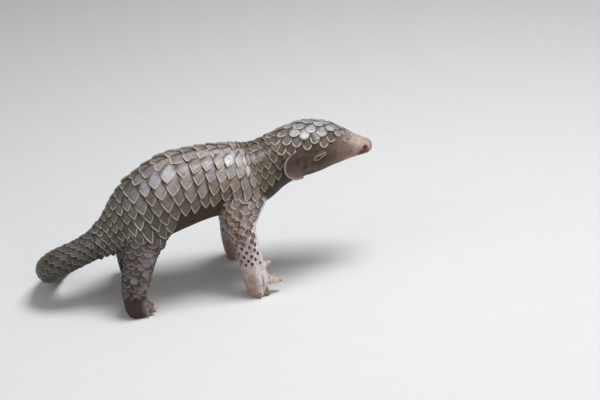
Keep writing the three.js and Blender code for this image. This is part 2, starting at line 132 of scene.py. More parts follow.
def near_to(points: Array, place: Sequence[float], radii: Sequence[float]) -> Array:
    """How far points lie from a place, as a share of a radius along each axis."""
    return np.linalg.norm((points - np.array(place)) / np.array(radii), axis=1)


def ring_quads(rings: int, sides: int) -> Array:
    """The quads between each ring of a grid and the next, all the way round."""
    ring, column = np.meshgrid(np.arange(rings - 1), np.arange(sides), indexing="ij")
    near, far, beside = ring * sides, (ring + 1) * sides, (column + 1) % sides
    quads = np.stack([near + column, near + beside, far + beside, far + column], -1)
    return quads.reshape(-1, 4)


@dataclass
class Shell:
    """Points in millimetres and the faces between them, as one array for each count of corners."""

    points: Array
    faces: list[Array]

    @classmethod
    def joined(cls, shells: Sequence["Shell"]) -> "Shell":
        """All the shells as one, their faces renumbered."""
        starts = np.cumsum([0] + [len(shell.points) for shell in shells])
        faces = [part + start for shell, start in zip(shells, starts) for part in shell.faces]
        return cls(np.concatenate([shell.points for shell in shells]), faces)

    @classmethod
    def capped(cls, grid: Array, poles: Array) -> "Shell":
        """A closed shell from rings of points and the two poles that close its ends."""
        rings, sides = grid.shape[:2]
        here = np.arange(sides)
        there = (here + 1) % sides
        end, first = (rings - 1) * sides, rings * sides
        near = np.stack([np.full(sides, first), there, here], -1)
        far = np.stack([np.full(sides, first + 1), end + here, end + there], -1)
        points = np.concatenate([grid.reshape(-1, 3), poles])
        return cls(points, [ring_quads(rings, sides), near, far]).outward()

    def volume(self) -> float:
        """Six times the volume: the sum of a . (b x c) over the fans of all faces."""
        total = 0.0
        for part in self.faces:
            corners = self.points[part]
            for k in range(1, part.shape[1] - 1):
                cross = np.cross(corners[:, k], corners[:, k + 1])
                total += float(np.sum(corners[:, 0] * cross))
        return total

    def outward(self) -> "Shell":
        """The same shell with its faces turned outwards."""
        return self if self.volume() >= 0 else self.flipped(self.points)

    def flipped(self, points: Array) -> "Shell":
        """A shell of the points with the faces turned over."""
        return Shell(points, [part[:, ::-1] for part in self.faces])

    def on_side(self, side: float) -> "Shell":
        """The shell for that side of the animal, when it was written for the right side."""
        return self if side == RIGHT else self.flipped(mirrored(self.points, side))


def linked(name: str, data: bpy.types.ID) -> Piece:
    """A new object that holds the data, linked to the scene."""
    made = bpy.data.objects.new(name, data)
    bpy.context.scene.collection.objects.link(made)
    return made


def mesh_object(name: str, shell: Shell) -> Piece:
    """Makes a smooth-shaded Blender object at the origin from a shell.

    Args:
        name: the object's name.
        shell: its points and faces.

    Returns:
        The object, linked to the scene.
    """
    counts = np.concatenate([np.full(len(part), part.shape[1]) for part in shell.faces])
    loops = np.concatenate([part.ravel() for part in shell.faces])
    mesh = bpy.data.meshes.new(name)
    mesh.vertices.add(len(shell.points))
    mesh.vertices.foreach_set("co", ((shell.points - ROW_ORIGIN) * MILLIMETRE).ravel())
    mesh.loops.add(len(loops))
    mesh.loops.foreach_set("vertex_index", loops.astype(np.int32))
    mesh.polygons.add(len(counts))
    starts = np.concatenate([[0], np.cumsum(counts)[:-1]])
    mesh.polygons.foreach_set("loop_start", starts.astype(np.int32))
    mesh.polygons.foreach_set("use_smooth", np.full(len(counts), True))
    mesh.update(calc_edges=True)
    mesh.validate()
    return linked(name, mesh)


def read_all(items: Sequence, name: str, width: int, kind: type = float) -> Array:
    """One property of all of a mesh's points, edges or loops, in rows of a width."""
    flat = np.empty(len(items) * width, kind)
    items.foreach_get(name, flat)
    return flat.reshape(-1, width)


def points_of(mesh: Mesh) -> Array:
    """A mesh's points in millimetres from the middle of the feet."""
    return read_all(mesh.vertices, "co", 3) / MILLIMETRE + ROW_ORIGIN


def edges_of(mesh: Mesh) -> Array:
    """A mesh's edges as pairs of point numbers."""
    return read_all(mesh.edges, "vertices", 2, np.int32)


def normals_of(mesh: Mesh) -> Array:
    """A mesh's point normals."""
    return read_all(mesh.vertices, "normal", 3)


def put_points(mesh: Mesh, points: Array) -> None:
    """Moves a mesh's points to new places, in millimetres from the middle of the feet."""
    mesh.vertices.foreach_set("co", ((points - ROW_ORIGIN) * MILLIMETRE).ravel())
    mesh.update()


def paint(mesh: Mesh, name: str, colours: Array) -> None:
    """Stores one colour for each point under a name."""
    layer = mesh.color_attributes.new(name=name, type="FLOAT_COLOR", domain="POINT")
    rgba = np.ones((len(colours), 4))
    rgba[:, : colours.shape[1]] = colours
    layer.data.foreach_set("color", rgba.ravel())


def unwrap(mesh: Mesh, name: str, places: Array) -> None:
    """Stores a UV map that holds one place for each point."""
    loops = read_all(mesh.loops, "vertex_index", 1, np.int32)[:, 0]
    mesh.uv_layers.new(name=name).data.foreach_set("uv", places[loops].ravel())


def relaxed(points: Array, edges: Array, share: Array, rounds: int) -> Array:
    """Smooths a mesh: each round moves a point by its share towards the mean of its neighbours.

    Args:
        points: the points.
        edges: pairs of neighbours.
        share: how far each point goes, from 0 to 1.
        rounds: how many times.

    Returns:
        The new points.
    """
    size = len(points)
    first, second = edges[:, 0], edges[:, 1]
    count = np.maximum(np.bincount(edges.ravel(), minlength=size), 1)
    for _ in range(rounds):
        mean = np.empty_like(points)
        for k in range(3):
            ahead = np.bincount(first, points[second, k], size)
            mean[:, k] = (ahead + np.bincount(second, points[first, k], size)) / count
        points = points + share[:, None] * (mean - points)
    return points


class BentTube:
    """A bent tube of elliptical section round a Catmull-Rom curve through its stations."""

    def __init__(self, stations: Sequence[Sequence[float]], reference: Sequence[float]) -> None:
        """Spreads the stations out into a dense line.

        Args:
            stations: x, y, z, half width and half height at each.
            reference: the way that angle 0 of each section faces, roughly.
        """
        rows = np.array(stations, float)
        ends = np.vstack([2 * rows[0] - rows[1], rows, 2 * rows[-1] - rows[-2]])
        before, start, stop, after = ends[:-3], ends[1:-2], ends[2:-1], ends[3:]
        share = np.linspace(0.0, 1.0, 24, endpoint=False)[None, :, None]
        before, start, stop, after = (part[:, None, :] for part in (before, start, stop, after))
        curve = 0.5 * (
            2 * start
            + (stop - before) * share
            + (2 * before - 5 * start + 4 * stop - after) * share**2
            + (3 * start - before - 3 * stop + after) * share**3
        )
        self.line = np.vstack([curve.reshape(-1, rows.shape[1]), rows[-1]])
        steps = np.linalg.norm(np.diff(self.line[:, :3], axis=0), axis=1)
        self.marks = np.concatenate([[0.0], np.cumsum(steps)])
        self.length = float(self.marks[-1])
        along = unit(np.gradient(self.line[:, :3], self.marks, axis=0))
        self.side = unit(np.cross(np.array(reference, float), along))
        self.top = np.cross(along, self.side)

    def read(self, table: Array, distance: Array) -> Array:
        """The rows of a table at distances along the tube, by straight interpolation."""
        columns = [np.interp(distance, self.marks, table[:, k]) for k in range(table.shape[1])]
        return np.stack(columns, -1)

    def point(self, distance: Array, angle: Array, lift: Array | float = 0.0) -> Array:
        """Points on the tube: centre + top h cos(angle) + side w sin(angle) + lift * normal.

        Args:
            distance: how far along the tube.
            angle: radians round it, 0 where the reference faces.
            lift: how far off the surface.

        Returns:
            The points, in an array with one more axis.
        """
        distance, angle = np.broadcast_arrays(np.asarray(distance, float), np.asarray(angle, float))
        row = self.read(self.line, distance)
        top, side = self.read(self.top, distance), self.read(self.side, distance)
        width, height = row[..., 3:4], row[..., 4:5]
        cosine, sine = np.cos(angle)[..., None], np.sin(angle)[..., None]
        normal = unit(top * cosine / height + side * sine / width)
        surface = row[..., :3] + top * height * cosine + side * width * sine
        return surface + normal * np.asarray(lift, float)[..., None]

    def loft(self, start: float, stop: float, rings: int, sides: int, lift: float = 0.0) -> Shell:
        """A closed length of the tube: a grid of rings and sides with a pole at each end.

        Args:
            start: distance where it starts.
            stop: distance where it ends.
            rings: steps along it.
            sides: steps round it.
            lift: how far off the tube's surface it lies.

        Returns:
            The closed shell.
        """
        distance = np.linspace(start, stop, rings + 1)[:, None]
        angle = np.linspace(0.0, 2 * math.pi, sides, endpoint=False)[None, :]
        poles = self.read(self.line, np.array([start, stop]))[:, :3]
        return Shell.capped(self.point(distance, angle, lift), poles)

    def coordinates(self, points: Array) -> tuple[Array, Array, Array]:
        """Where points lie by the tube: the nearest mark, the angle round it and how far out.

        Args:
            points: the points.

        Returns:
            Distance along the tube, angle in radians, and distance from the middle line as a
            share of the tube's own radius that way.
        """
        nearest = []
        for chunk in np.array_split(points, max(1, len(points) // 4000)):
            gaps = np.sum((chunk[:, None, :] - self.line[None, :, :3]) ** 2, axis=2)
            nearest.append(np.argmin(gaps, axis=1))
        nearest = np.concatenate(nearest)
        offset = points - self.line[nearest, :3]
        up = np.sum(offset * self.top[nearest], 1) / self.line[nearest, 4]
        across = np.sum(offset * self.side[nearest], 1) / self.line[nearest, 3]
        return self.marks[nearest], np.arctan2(across, up), np.hypot(up, across)


BODY_LINE = BentTube(
    [
        [139.6, 0, 85.0, 3.2, 3.0],
        [136.8, 0, 85.6, 5.8, 5.2],
        [128.0, 0, 87.4, 8.8, 8.2],
        [116.6, 0, 89.8, 13.0, 12.8],
        [104.2, 0, 91.8, 17.4, 17.4],
        [91.6, 0, 91.6, 19.2, 19.2],
        [79.7, 0, 89.2, 18.2, 18.8],
        [67.2, 0, 84.4, 18.4, 19.0],
        [51.0, 0, 78.6, 22.2, 22.9],
        [33.2, 0, 78.4, 24.6, 24.4],
        [15.0, 0, 77.8, 25.9, 25.8],
        [-3.2, 0, 74.8, 26.7, 27.0],
        [-20.3, 0, 67.5, 25.6, 25.2],
        [-34.5, 0, 59.5, 22.4, 21.4],
        [-46.4, 0, 52.5, 17.2, 14.9],
        [-56.7, 0, 47.7, 13.5, 10.2],
        [-67.9, 0, 42.7, 11.6, 8.5],
        [-78.7, 0.6, 38.3, 10.8, 8.6],
        [-88.4, 4.2, 33.7, 10.4, 9.2],
        [-94.8, 11.8, 27.0, 9.9, 9.1],
        [-96.8, 22.4, 19.6, 8.9, 8.2],
        [-95.6, 34.4, 12.3, 7.9, 6.7],
        [-91.2, 46.2, 7.8, 6.9, 5.7],
        [-84.2, 56.8, 5.2, 5.9, 4.9],
        [-75.4, 65.6, 4.0, 4.8, 4.1],
        [-66.4, 72.0, 3.0, 3.3, 2.9],
        [-61.0, 75.0, 2.1, 1.4, 1.3],
    ],
    (0, 0, 1),
)
HIP_HEIGHT = 75.0
BELLY_EDGE = 104.0
RUMP_EDGE = 182.0


def from_back(angle: Array) -> Array:
    """Degrees from the middle of the back, 0 to 180 on either side."""
    turned = np.mod(angle, 2 * math.pi)
    return np.degrees(np.minimum(turned, 2 * math.pi - turned))


@dataclass(frozen=True)
class Toe:
    """One toe and its claw, written for the right side, in degrees and millimetres.

    The toe leaves the middle of the foot at its height, turned by its heading from straight
    ahead and by its pitch from level. The claw is as long beyond the digit as it says, has the
    radius thick, curls on by its curl, and is rooted that far inside the digit's flesh.
    """

    name: str
    heading: float
    pitch: float
    height: float
    digit: float
    claw: float
    thick: float
    curl: float
    root: float = 1.8
    flesh: float = 1.3

    def place(self, foot: Array, reach: Array) -> Array:
        """Points along the toe: straight at its pitch, then curling from where the claw starts.

        Args:
            foot: the middle of the foot.
            reach: distances along the toe.

        Returns:
            The points.
        """
        reach = np.asarray(reach, float)
        beyond = np.maximum(0.0, reach - self.digit + self.root)
        straight = reach - beyond
        pitch, heading = math.radians(self.pitch), math.radians(self.heading)
        bend = pitch + np.radians(self.curl) * beyond / (2 * self.claw)
        ahead = straight * math.cos(pitch) + beyond * np.cos(bend)
        fall = straight * math.sin(pitch) + beyond * np.sin(bend)
        x = foot[0] + ahead * math.cos(heading)
        y = foot[1] + ahead * math.sin(heading)
        return np.stack([x, y, self.height - fall], -1)

    def tube(self, foot: Array, reach: Sequence[float], radius: Sequence[float]) -> BentTube:
        """A bent tube along the toe with a radius at each reach."""
        size = np.array(radius, float)[:, None]
        return BentTube(np.hstack([self.place(foot, np.array(reach)), size, size]), (0, 0, 1))

    def digit_shell(self, foot: Array) -> Shell:
        """The toe's flesh: a rounded tube with a knuckle, that closes round the claw's root."""
        fat = self.thick + self.flesh
        shares = [0.0, 0.3, 0.6, 0.85, 1.0]
        reach = [share * self.digit for share in shares] + [self.digit + 0.5]
        radius = [fat, fat, 1.04 * fat, 0.97 * fat, 0.78 * fat, 0.45 * fat]
        tube = self.tube(foot, reach, radius)
        return tube.loft(0.0, tube.length, 16, 20)

    def claw_shell(self, foot: Array) -> Shell:
        """The claw: a curved horn that narrows to its tip."""
        start = self.digit - self.root
        shares = [-0.12, 0.0, 0.18, 0.36, 0.54, 0.7, 0.84, 0.94, 1.0]
        sizes = [0.8, 0.96, 1.0, 0.96, 0.84, 0.66, 0.44, 0.25, 0.1]
        reach = [start + share * self.claw for share in shares]
        tube = self.tube(foot, reach, [size * self.thick for size in sizes])
        shell = tube.loft(0.0, tube.length, 20, 16)
        shell.points[:, 2] = np.maximum(shell.points[:, 2], CLAW_OFF_FLOOR)
        return shell


@dataclass(frozen=True)
class Leg:
    """One leg, written for the right side and carried to the left by mirroring.

    Its stations are x, y, z, half width and half height down the leg. The toes spread from its
    foot mark, a distance along it, and its stride carries the foot forwards.
    """

    name: str
    stations: tuple[tuple[float, ...], ...]
    foot_mark: float
    toes: tuple[Toe, ...]
    side: float
    stride: float
    nodes: tuple[str, ...]

    @property
    def fore(self) -> bool:
        """Whether it is a foreleg."""
        return self.name.startswith("fore")

    def tube(self) -> BentTube:
        """The leg's tube, its foot and less of the leg above it carried forwards by the stride."""
        rows = np.array(self.stations, float)
        rows[:, 0] += self.stride * np.clip(1.0 - rows[:, 2] / HIP_HEIGHT, 0.0, 1.0)
        return BentTube(rows, (0, -1, 0))

    def foot(self) -> Array:
        """The middle of the foot, from which the toes spread."""
        tube = self.tube()
        return tube.read(tube.line, np.array([self.foot_mark]))[0, :3]

    def flesh(self) -> Shell:
        """The leg and its toes as overlapping closed shells."""
        tube = self.tube()
        foot = self.foot()
        shells = [tube.loft(0.0, tube.length, 90, 56)]
        shells += [toe.digit_shell(foot) for toe in self.toes]
        return Shell.joined(shells).on_side(self.side)

    def claws(self) -> Shell:
        """The claws of this foot."""
        foot = self.foot()
        return Shell.joined([toe.claw_shell(foot) for toe in self.toes]).on_side(self.side)


FORELEG = (
    (46.0, -7, 80, 15.0, 7.0),
    (44.0, -13.5, 71, 17.0, 9.6),
    (39.6, -20.0, 61.5, 14.6, 9.8),
    (37.4, -24.8, 51, 11.2, 9.0),
    (39.4, -28, 41, 8.7, 8.2),
    (40.9, -30.2, 31, 8.3, 7.4),
    (42.0, -31.2, 21, 8.7, 7.2),
    (43.0, -31.8, 12, 8.4, 7.6),
    (43.2, -32, 4.5, 7.0, 6.8),
    (43.2, -32, -1.5, 4.4, 4.2),
)
HIND_LEG = (
    (-19.0, -7, 70, 15.0, 7.6),
    (-23.6, -14, 61.5, 16.4, 10.0),
    (-29.4, -20.0, 52, 14.4, 10.2),
    (-33.8, -24.4, 43, 11.6, 9.4),
    (-37.0, -27.2, 34, 9.9, 8.8),
    (-40.6, -29, 24.5, 9.5, 8.4),
    (-42.4, -30, 15.5, 8.2, 8.0),
    (-42.0, -30.6, 8.5, 8.4, 8.2),
    (-41.4, -30.8, 3.5, 8.0, 7.8),
    (-41.2, -30.8, -1.5, 5.4, 5.2),
)
FORE_TOES = (
    Toe("claw_1", 62, 25, 15.0, 8.6, 4.5, 1.2, 8),
    Toe("claw_2", 22, 0, 21.0, 9.0, 7.5, 1.9, -8),
    Toe("claw_3", -3, 24, 14.5, 10.0, 11.5, 3.1, -18),
    Toe("claw_4", -30, 48, 11.5, 7.5, 9.0, 2.9, 16),
    Toe("claw_5", -84, 42, 8.5, 7.5, 5.5, 1.9, 10),
)
HIND_TOES = (
    Toe("claw_1", 48, 26, 7.5, 9.4, 4.2, 1.5, 14),
    Toe("claw_2", 23, 20, 7.8, 10.6, 5.0, 1.8, 16),
    Toe("claw_3", 0, 18, 7.9, 11.2, 5.4, 1.9, 16),
    Toe("claw_4", -23, 20, 7.8, 10.6, 5.0, 1.8, 16),
    Toe("claw_5", -48, 26, 7.5, 9.4, 4.2, 1.5, 14),
)


FORE = (FORELEG, 74.0, FORE_TOES)
HIND = (HIND_LEG, 76.0, HIND_TOES)
FORE_PARTS = ("upper_arm", "forearm", "forepaw")
HIND_PARTS = ("thigh", "shank", "hind_foot")
LEGS = (
    Leg("fore_right", *FORE, RIGHT, 0.0, tuple(f"{part}_right" for part in FORE_PARTS)),
    Leg("fore_left", *FORE, LEFT, -5.0, tuple(f"{part}_left" for part in FORE_PARTS)),
    Leg("hind_right", *HIND, RIGHT, 0.0, tuple(f"{part}_right" for part in HIND_PARTS)),
    Leg("hind_left", *HIND, LEFT, 4.0, tuple(f"{part}_left" for part in HIND_PARTS)),
)


@dataclass(frozen=True)
class Ear:
    """The right ear: a shallow dished flap, thickened into a rim, rooted along its front."""

    centre: tuple[float, float, float] = (80.8, -21.6, 88.0)
    half_length: float = 10.4
    half_height: float = 9.8
    depth: float = 3.4
    thickness: float = 1.7
    rim: float = 0.85
    sunk: float = 2.6
    turn: float = 0.3
    tip: float = -0.3

    def rimmed(self, angle: Array) -> Array:
        """How far the rim stands at each angle: fully behind and below, not at the front."""
        turned = np.mod(angle + math.radians(130.0), 2 * math.pi) - math.radians(130.0)
        degrees = np.degrees(turned)
        return ramp(-128.0, -100.0, degrees) * ramp(95.0, 40.0, degrees)

    def flap(self) -> Shell:
        """Front and back faces as grids of radius and angle, meeting at the rim.

        The face lies at depth (r^2 - 0.55) + 0.9 sin(2 angle) r, the back lies the thickness
        behind it, both swell by the rim near r = 0.88, and the front sinks into the cheek.
        """
        rings, spokes = 16, 48
        radius = np.linspace(0.0, 1.0, rings + 1)[1:, None]
        angle = np.linspace(0.0, 2 * math.pi, spokes, endpoint=False)[None, :]
        bowl = self.depth * (radius**2 - 0.55) + 0.9 * np.sin(2 * angle) * radius
        bowl = bowl - self.sunk * ramp(0.0, 1.0, -radius * np.cos(angle))
        swell = self.rim * hump(0.88, 0.11, radius) * self.rimmed(angle)
        thick = self.thickness * np.sqrt(np.maximum(0.0, 1.0 - radius**6)) + 0.0 * angle
        x = self.half_length * radius * np.cos(angle)
        z = self.half_height * radius * np.sin(angle)
        face = np.stack([x, bowl + swell, z], -1)
        back = np.stack([x, bowl - thick - 0.6 * swell, z], -1)[:-1]
        hub = -0.55 * self.depth
        hubs = np.array([[0, hub, 0], [0, hub - self.thickness, 0]])
        return Shell.capped(self.turned(np.concatenate([face, back[::-1]])), self.turned(hubs))

    def matrix(self) -> Array:
        """The turn that takes the flap's own axes (rearward, outward, up) to the head's."""
        turn, lean = math.pi + self.turn, self.tip
        turn_cos, turn_sin, lean_cos, lean_sin = (
            part(angle) for angle in (turn, lean) for part in (math.cos, math.sin)
        )
        about_z = np.array([[turn_cos, -turn_sin, 0], [turn_sin, turn_cos, 0], [0, 0, 1]])
        about_x = np.array([[1, 0, 0], [0, lean_cos, -lean_sin], [0, lean_sin, lean_cos]])
        return about_x @ about_z

    def turned(self, points: Array) -> Array:
        """Points of the flap's own frame put in their place on the head."""
        return points @ self.matrix().T + np.array(self.centre)

    def own_frame(self, points: Array) -> Array:
        """Points of the right half of the head in the flap's own frame."""
        return (points - np.array(self.centre)) @ self.matrix()

    def root(self) -> Shell:
        """The fleshy root that carries the flap's front into the cheek, a rounded lump."""
        middle = np.array([87.2, -16.8, 88.4])
        rows = [middle + [9.5, 1.6, 0.6], middle + [5, 0.4, 0.3], middle, middle + [-5, -1.8, -0.2]]
        sizes = [[1.0, 1.0], [5.6, 2.8], [7.2, 3.7], [5.6, 2.8]]
        tube = BentTube([list(row) + size for row, size in zip(rows, sizes)], (0, -1, 0))
        return tube.loft(0.0, tube.length, 20, 28)


@dataclass(frozen=True)
class Eye:
    """The right eye: a dark bead in a slit between wrinkled lids."""

    centre: tuple[float, float, float] = (99.0, -18.2, 91.0)
    outward: tuple[float, float, float] = (0.16, -0.98, -0.06)
    slope: float = 21.0
    radius: float = 2.4
    half_slit: float = 4.2
    opening: float = 1.4

    def axes(self) -> tuple[Array, Array, Array]:
        """Along the slit towards the nose, up across it, and outwards."""
        normal = unit(np.array(self.outward))
        tilt = math.radians(self.slope)
        along = np.array([math.cos(tilt), 0.0, math.sin(tilt)])
        along = unit(along - normal * np.dot(along, normal))
        up = np.cross(along, normal)
        if up[2] < 0:
            up = -up
        return along, up, normal

    def shape(self, points: Array) -> Array:
        """Presses the slit in and raises the lids and their creases round it.

        With u along the slit and v across it, the slit is |v| < opening sqrt(1 - (u / half)^2),
        widest towards its rear end. The lids are bell curves above and below it, and two weaker
        bell curves pressed in beyond them make the creases.

        Args:
            points: points of the right half of the head.

        Returns:
            The moved points.
        """
        normal = self.axes()[2]
        u, v, w = self.offsets(points)
        near = ramp(8.0, 6.0, np.abs(u)) * ramp(6.5, 4.5, np.abs(v)) * ramp(-6.0, -3.0, w)
        inside = np.sqrt(np.maximum(0.0, 1.0 - (u / self.half_slit) ** 2))
        gape = self.opening * inside * (0.22 + 0.78 * hump(-2.0, 1.25, u))
        ends = ramp(self.half_slit, self.half_slit - 0.8, np.abs(u))
        slit = ramp(0.2, -0.15, np.abs(v) - gape) * ends
        spread = ramp(6.4, 3.6, np.abs(u))
        upper = hump(0.1 + self.lid_line(u), 0.65, v) * spread * 0.75
        lower = hump(-0.15 - self.lid_line(u), 0.55, v) * spread * 0.6
        folds = hump(2.45, 0.35, v) + 0.6 * hump(3.7, 0.4, v) + 0.9 * hump(-2.4, 0.35, v)
        rise = upper + lower - 0.5 * folds * spread
        rise = rise * (1.0 - slit) - 1.9 * slit
        return points + normal * (rise * near)[:, None]

    def lid_line(self, u: Array) -> Array:
        """How far each lid lies from the slit's middle: wider round the bead at its rear end."""
        return 0.85 + 0.5 * hump(-2.0, 1.7, u)

    def offsets(self, points: Array) -> tuple[Array, Array, Array]:
        """Where points lie by the eye: along the slit, across it and outwards.

        The way across is stretched by 1 / sqrt(1 - (u / 6.2)^2), so lines of one value of it
        draw together towards the corners as lids do.

        Args:
            points: points of the right half of the head.

        Returns:
            The three offsets.
        """
        along, up, normal = self.axes()
        offset = points - np.array(self.centre)
        u = offset @ along
        lens = np.sqrt(np.maximum(0.2, 1.0 - (u / 6.2) ** 2))
        return u, offset @ up / lens, offset @ normal

    def ball(self) -> Shell:
        """The eyeball, a closed sphere of rings and sides."""
        along, _, normal = self.axes()
        middle = np.array(self.centre) + normal * (0.35 - self.radius) - along * 1.9
        latitude = np.linspace(-math.pi / 2, math.pi / 2, 19)
        rows = np.empty((len(latitude), 5))
        rows[:, :3] = middle + normal * self.radius * np.sin(latitude)[:, None]
        rows[:, 3:] = self.radius * np.cos(latitude)[:, None]
        rows[[0, -1], 3:] = 0.02
        tube = BentTube(rows, (1, 0, 0))
        return tube.loft(0.0, tube.length, 26, 28)


MOUTH = ((14.0, 128.0), (10.6, 118.0), (7.8, 107.0), (5.6, 118.0), (4.4, 150.0), (4.2, 180.0))
NOSTRIL = (6.4, 81.0)
CANAL = (87.6, -21.4, 85.6)
HOLLOW = (87.0, -20.6, 90.2)
LEG_ROOTS = ((44, 24, 62), (-28, 22, 52))
LEG_ROOT_REACH = 24.0
EAR_FRONT = (91.5, 18, 88.5)
EYE_FORWARD = 99.5
EYE_UP = 91.0
HEAD_END = 84.0
TAN_CLAWS = ("claw_4", "claw_5")
FLESH = (
    "torso", "neck", "head", "ear_right", "ear_left", "tail_root", "tail_middle", "tail_tip",
)


def nostril_place() -> Array:
    """The middle of the right nostril, on the side of the muzzle's tip."""
    return BODY_LINE.point(np.array(NOSTRIL[0]), np.radians(NOSTRIL[1]))


@dataclass
class PupSkin:
    """The one skin of the animal, from the nose to the tail's tip, with its ears and toes."""

    ear: Ear
    eye: Eye
    voxel: float = 0.885
    inset: float = 0.15
    smoothing: float = 0.5
    sharpening: float = -0.52
    muzzle_start: float = 124.0
    fine_reach: float = 9.0
    finest_reach: float = 5.8
    mouth_rear: float = 112.0

    def rough(self) -> Shell:
        """Every part of the flesh as overlapping closed shells."""
        shells = [BODY_LINE.loft(0.0, BODY_LINE.length, 320, 88, -self.inset)]
        shells += [leg.flesh() for leg in LEGS]
        for side in (RIGHT, LEFT):
            shells += [self.ear.flap().on_side(side), self.ear.root().on_side(side)]
        return Shell.joined(shells)

    def fused(self) -> Mesh:
        """The rough shells made one closed surface of even quads."""
        rough = mesh_object("skin_rough", self.rough())
        remesh = rough.modifiers.new("fuse", "REMESH")
        remesh.mode = "VOXEL"
        remesh.voxel_size = self.voxel * MILLIMETRE
        remesh.use_smooth_shade = True
        graph = bpy.context.evaluated_depsgraph_get()
        mesh = bpy.data.meshes.new_from_object(rough.evaluated_get(graph))
        bpy.data.objects.remove(rough)
        return mesh

    def settle(self, mesh: Mesh) -> None:
        """Smooths the whole skin a little, and the legs' roots and the ears' fronts more."""
        points, edges = points_of(mesh), edges_of(mesh)
        everywhere = np.ones(len(points))
        for _ in range(4):
            points = relaxed(points, edges, self.smoothing * everywhere, 1)
            points = relaxed(points, edges, self.sharpening * everywhere, 1)
        soft = np.zeros(len(points))
        for centre in LEG_ROOTS:
            away = np.linalg.norm(folded(points) - centre, axis=1)
            soft = np.maximum(soft, ramp(LEG_ROOT_REACH, LEG_ROOT_REACH - 12.0, away))
        points = relaxed(points, edges, 0.5 * soft, 40)
        ear_front = np.linalg.norm(folded(points) - EAR_FRONT, axis=1)
        points = relaxed(points, edges, 0.5 * ramp(10.5, 5.5, ear_front), 40)
        put_points(mesh, points)

    def refine(self, mesh: Mesh) -> None:
        """Halves the quads of the muzzle once and those of the eyes twice."""
        work = bmesh.new()
        work.from_mesh(mesh)
        row = ROW_ORIGIN * MILLIMETRE

        def near_eye(x: float, y: float, z: float, reach: float) -> bool:
            """Whether a point lies within reach of an eye's middle."""
            beside = abs(x - EYE_FORWARD) < reach and abs(y) > 12.0
            return beside and abs(z - EYE_UP) < 0.85 * reach

        for muzzle, reach in ((self.muzzle_start, self.fine_reach), (math.inf, self.finest_reach)):
            edges = set()
            for face in work.faces:
                x, y, z = (face.calc_center_median() + Vector(row)) / MILLIMETRE
                if x > muzzle or near_eye(x, y, z, reach):
                    edges.update(face.edges)
            bmesh.ops.subdivide_edges(work, edges=list(edges), cuts=1, use_grid_fill=True)
        work.to_mesh(mesh)
        work.free()
        points, pairs = points_of(mesh), edges_of(mesh)
        face = ramp(90.0, 94.0, points[:, 0])
        for _ in range(3):
            points = relaxed(points, pairs, 0.5 * face, 1)
            points = relaxed(points, pairs, -0.5 * face, 1)
        put_points(mesh, points)

    def sculpt(self, mesh: Mesh) -> None:
        """Presses in and raises the face's forms: eyes, nostrils, mouth and ear canals."""
        points = points_of(mesh)
        for side in (RIGHT, LEFT):
            own = points[:, 1] * side > 0
            points[own] = mirrored(self.eye.shape(mirrored(points[own], side)), side)
        put_points(mesh, points)
        points, normals = points_of(mesh), normals_of(mesh)
        rise = self.nostrils(points) + self.mouth(points) + self.canals(points)
        points = points + normals * rise[:, None]
        points[:, 2] = np.maximum(points[:, 2], 0.0)
        put_points(mesh, points)

    def nostrils(self, points: Array) -> Array:
        """How far each point moves out for the nostrils: an oval pit in a raised rim."""
        rise = np.zeros(len(points))
        for side in (RIGHT, LEFT):
            away = near_to(mirrored(points, side), nostril_place(), (1.9, 2.4, 1.5))
            rise += 0.4 * hump(1.35, 0.35, away) - 1.2 * ramp(1.1, 0.3, away)
        return rise

    def mouth(self, points: Array) -> Array:
        """How far each point moves out for the mouth: a groove along its line between two lips."""
        marks = np.array(MOUTH)
        steps = np.linspace(0, len(marks) - 1, 60)
        distance = np.interp(steps, np.arange(len(marks)), marks[:, 0])
        angle = np.radians(np.interp(steps, np.arange(len(marks)), marks[:, 1]))
        line = np.concatenate([BODY_LINE.point(distance, angle), BODY_LINE.point(distance, -angle)])
        near = points[:, 0] > self.mouth_rear
        rise = np.zeros(len(points))
        gaps = np.linalg.norm(points[near][:, None, :] - line[None], axis=2).min(axis=1)
        rise[near] = 0.3 * hump(1.15, 0.5, gaps) - 0.62 * hump(0.0, 0.42, gaps)
        return rise

    def canals(self, points: Array) -> Array:
        """How far each point moves out for the ear canals, small pits below shallow hollows."""
        rise = np.zeros(len(points))
        for side in (RIGHT, LEFT):
            own = mirrored(points, side)
            rise -= 1.6 * ramp(1.2, 0.3, near_to(own, CANAL, (1.5, 3.0, 1.2)))
            rise -= 1.0 * ramp(1.3, 0.2, near_to(own, HOLLOW, (4.6, 5.0, 3.2)))
        return rise

    def build(self) -> Piece:
        """Builds the skin and paints its markings."""
        mesh = self.fused()
        self.settle(mesh)
        self.refine(mesh)
        self.sculpt(mesh)
        mesh.name = "skin"
        mesh.polygons.foreach_set("use_smooth", np.full(len(mesh.polygons), True))
        paint(mesh, "Marking", Markings().of_skin(points_of(mesh)))
        return linked("skin", mesh)


